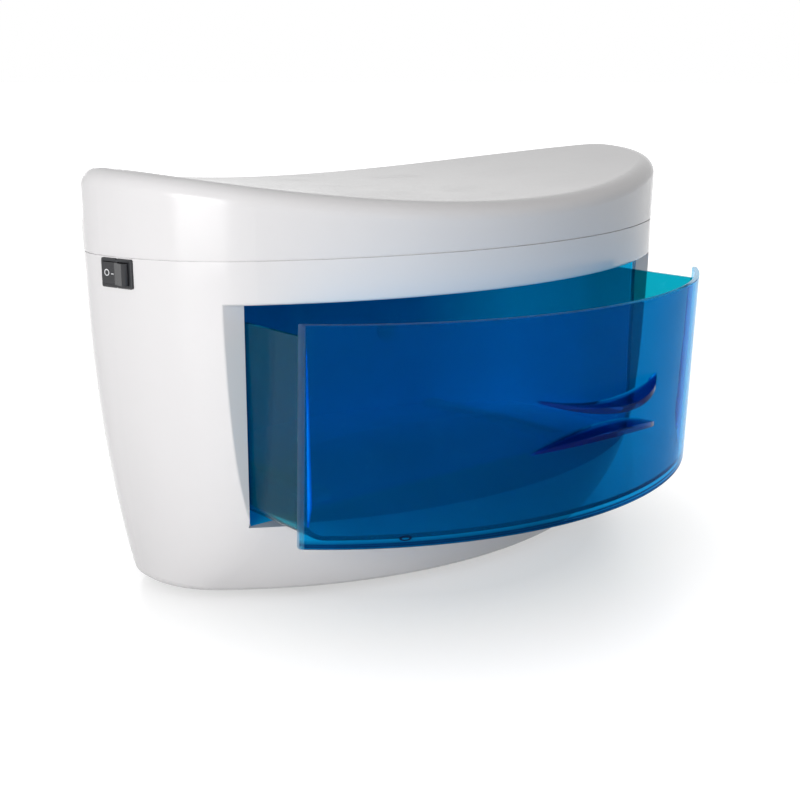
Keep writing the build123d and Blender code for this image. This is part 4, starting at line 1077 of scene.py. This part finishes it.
class AddMarks(CaseStep):
    """Add the cement beads, bright blue partly as a painted highlight on the tub's front
    corners, and the small moulding mark of the drawer's front
    """
    bl_idname = "sterilizer.add_marks"
    bl_label = "Weld beads and moulding mark"
    store = "sterilizer_drawer"

    def make(self, sizes):
        dark = plastic("gate_blue", (0.001, 0.006, 0.03), 0.8, grain=0.0003, shade=0.2,
                       relief=0.2, Specular_IOR_Level=0.1)
        x, z = GATE_AT
        y = front_face(x, z, FRONT_BOW)
        out = y - front_axis(z)
        oval = (place_of((x, y, z), (-out, x, 0), (x, out, 0))
                @ Matrix.Diagonal((1.0, GATE_SQUASH, 1.0, 1.0)))
        form = bmesh.new()
        tube(form, oval, sizes.gate_size / 2, sizes.gate_size / 2 - GATE_WALL, GATE_HEIGHT)
        keep(mesh_piece("gate_mark", form, dark), "drawer", "drawer_blue")
        # Partly a painted highlight: the beads' bright blue stands in for the light that the
        # tub's front corners catch.
        cement = plastic("weld_blue", sizes.weld_and_highlight_colour, 0.18, grain=0.002, shade=0.2,
                         relief=0.3)
        form = bmesh.new()
        for side in (-1, 1):
            bead(form, side, sizes.weld_radius)
        keep(mesh_piece("weld_beads", form, cement), "drawer", "drawer_blue")


class SetStage(CaseStep):
    """Lay the floor, hang the lamps and set up the camera"""
    bl_idname = "sterilizer.set_stage"
    bl_label = "Stage"
    store = "sterilizer_stage"

    def make(self, sizes):
        scene = bpy.context.scene
        scene.view_settings.view_transform = "Standard"
        self.floor(sizes)
        self.room(scene, sizes)
        for name, (at, wide, high) in LAMPS.items():
            self.lamp(name + "_lamp", at, wide, high, getattr(sizes, name + "_power"))
        self.camera(scene, sizes)

    def floor(self, sizes):
        """Wide pale floor that shows white to the camera and keeps the shadow, with a painted
        shadow where its glow is dimmer near the case.
        """
        form = bmesh.new()
        bmesh.ops.create_grid(form, x_segments=4, y_segments=4, size=FLOOR_REACH,
                              matrix=Matrix.Translation((0, 0, -FLOOR_DROP)))
        mesh = bpy.data.meshes.new("floor")
        form.to_mesh(mesh)
        form.free()
        floor = linked("floor", mesh)
        material, tree, shader, where = new_finish(
            "pale_floor", Roughness=0.36, Specular_IOR_Level=0.5, Emission_Color=WHITE)
        pale = opaque(sizes.floor_colour)
        shade = opaque([part * 0.985 for part in sizes.floor_colour])
        feed(tree, shader.inputs["Base Color"],
             mixed(tree, noise(tree, where, 3.0, 3.0), shade, pale))
        path, seen = seen_rays(tree)
        # Painted shadow: the glow is dimmer near the case's middle.
        (near, dim), (far, bright) = FLOOR_SHADOW_NEAR, FLOOR_SHADOW_FAR
        level = remap(tree, length_of(tree, where), near, far, dim, bright)
        bounced = remap(tree, path["Diffuse Depth"], 0.0, 1.0, 1.0, 0.5)
        feed(tree, shader.inputs["Emission Strength"], product(tree, seen, level, bounced))
        mesh.materials.append(material)

    def room(self, scene, sizes):
        """Even light from all sides, white where it is seen."""
        world = bpy.data.worlds.new("room")
        world.use_nodes = True
        scene.world = world
        tree = world.node_tree
        back = tree.nodes["Background"]
        back.inputs["Color"].default_value = WHITE
        _, seen = seen_rays(tree)
        feed(tree, back.inputs["Strength"],
             remap(tree, seen, 0.0, 1.0, sizes.room_light, 1.0))

    def lamp(self, name, at, wide, high, energy):
        """Large soft lamp that points at the case."""
        light = bpy.data.lights.new(name, "AREA")
        light.shape = "RECTANGLE"
        light.size, light.size_y = wide, high
        light.energy = energy
        lamp = linked(name, light)
        lamp.location = at
        aim = Vector(LAMP_AIM) - Vector(at)
        lamp.rotation_euler = aim.to_track_quat("-Z", "Y").to_euler()

    def camera(self, scene, sizes):
        """Camera at the view of the finished object."""
        lens = bpy.data.cameras.new("camera")
        lens.lens = sizes.camera_lens
        lens.sensor_width = SENSOR_WIDTH
        camera = linked("camera", lens)
        turn = (Matrix.Rotation(-sizes.camera_heading, 4, "Z")
                @ Matrix.Rotation(math.pi / 2 - sizes.camera_dip, 4, "X")
                @ Matrix.Rotation(-sizes.camera_roll, 4, "Z"))
        camera.matrix_world = Matrix.Translation(Vector(sizes.camera_at)) @ turn
        scene.camera = camera


def seen_rays(tree):
    """Light path, and a mask of the camera, transmission and glossy rays."""
    path = add(tree, "ShaderNodeLightPath").outputs
    seen = calc(tree, "MAXIMUM", path["Is Camera Ray"], path["Is Transmission Ray"])
    return path, calc(tree, "MAXIMUM", seen, path["Is Glossy Ray"])


class CasePanel(bpy.types.Panel):
    """Steps and sizes of the sterilizer case"""
    bl_idname = "VIEW3D_PT_sterilizer_case"
    bl_label = "Sterilizer case"
    bl_space_type = "VIEW_3D"
    bl_region_type = "UI"
    bl_category = "Sterilizer case"

    def draw(self, context):
        for step in STEPS:
            box = self.layout.box()
            box.operator(step.bl_idname)
            settings = getattr(context.scene, step.store)
            for name in settings.bl_rna.properties.keys():
                if name not in ("rna_type", "name"):
                    box.prop(settings, name)


STEPS = (DressShell, DressDrawer, AddMarks, DressLamp, DressGear, DressSwitch, FitScrews,
         SetStage)
STORES = {"sterilizer_shell": ShellSettings, "sterilizer_drawer": DrawerSettings,
          "sterilizer_lamp": LampSettings, "sterilizer_gear": GearSettings,
          "sterilizer_switch": SwitchSettings, "sterilizer_screws": ScrewSettings,
          "sterilizer_stage": StageSettings}


def register():
    for store, settings in STORES.items():
        bpy.utils.register_class(settings)
        setattr(bpy.types.Scene, store, PointerProperty(type=settings))
    for step in STEPS:
        bpy.utils.register_class(step)
    bpy.utils.register_class(CasePanel)


def unregister():
    bpy.utils.unregister_class(CasePanel)
    for step in reversed(STEPS):
        bpy.utils.unregister_class(step)
    for store, settings in reversed(STORES.items()):
        delattr(bpy.types.Scene, store)
        bpy.utils.unregister_class(settings)


def main():
    """Dresses the whole case and keeps its sizes."""
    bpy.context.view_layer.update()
    register()
    for step in STEPS:
        family, name = step.bl_idname.split(".")
        getattr(getattr(bpy.ops, family), name)()


if __name__ == "__main__":
    main()
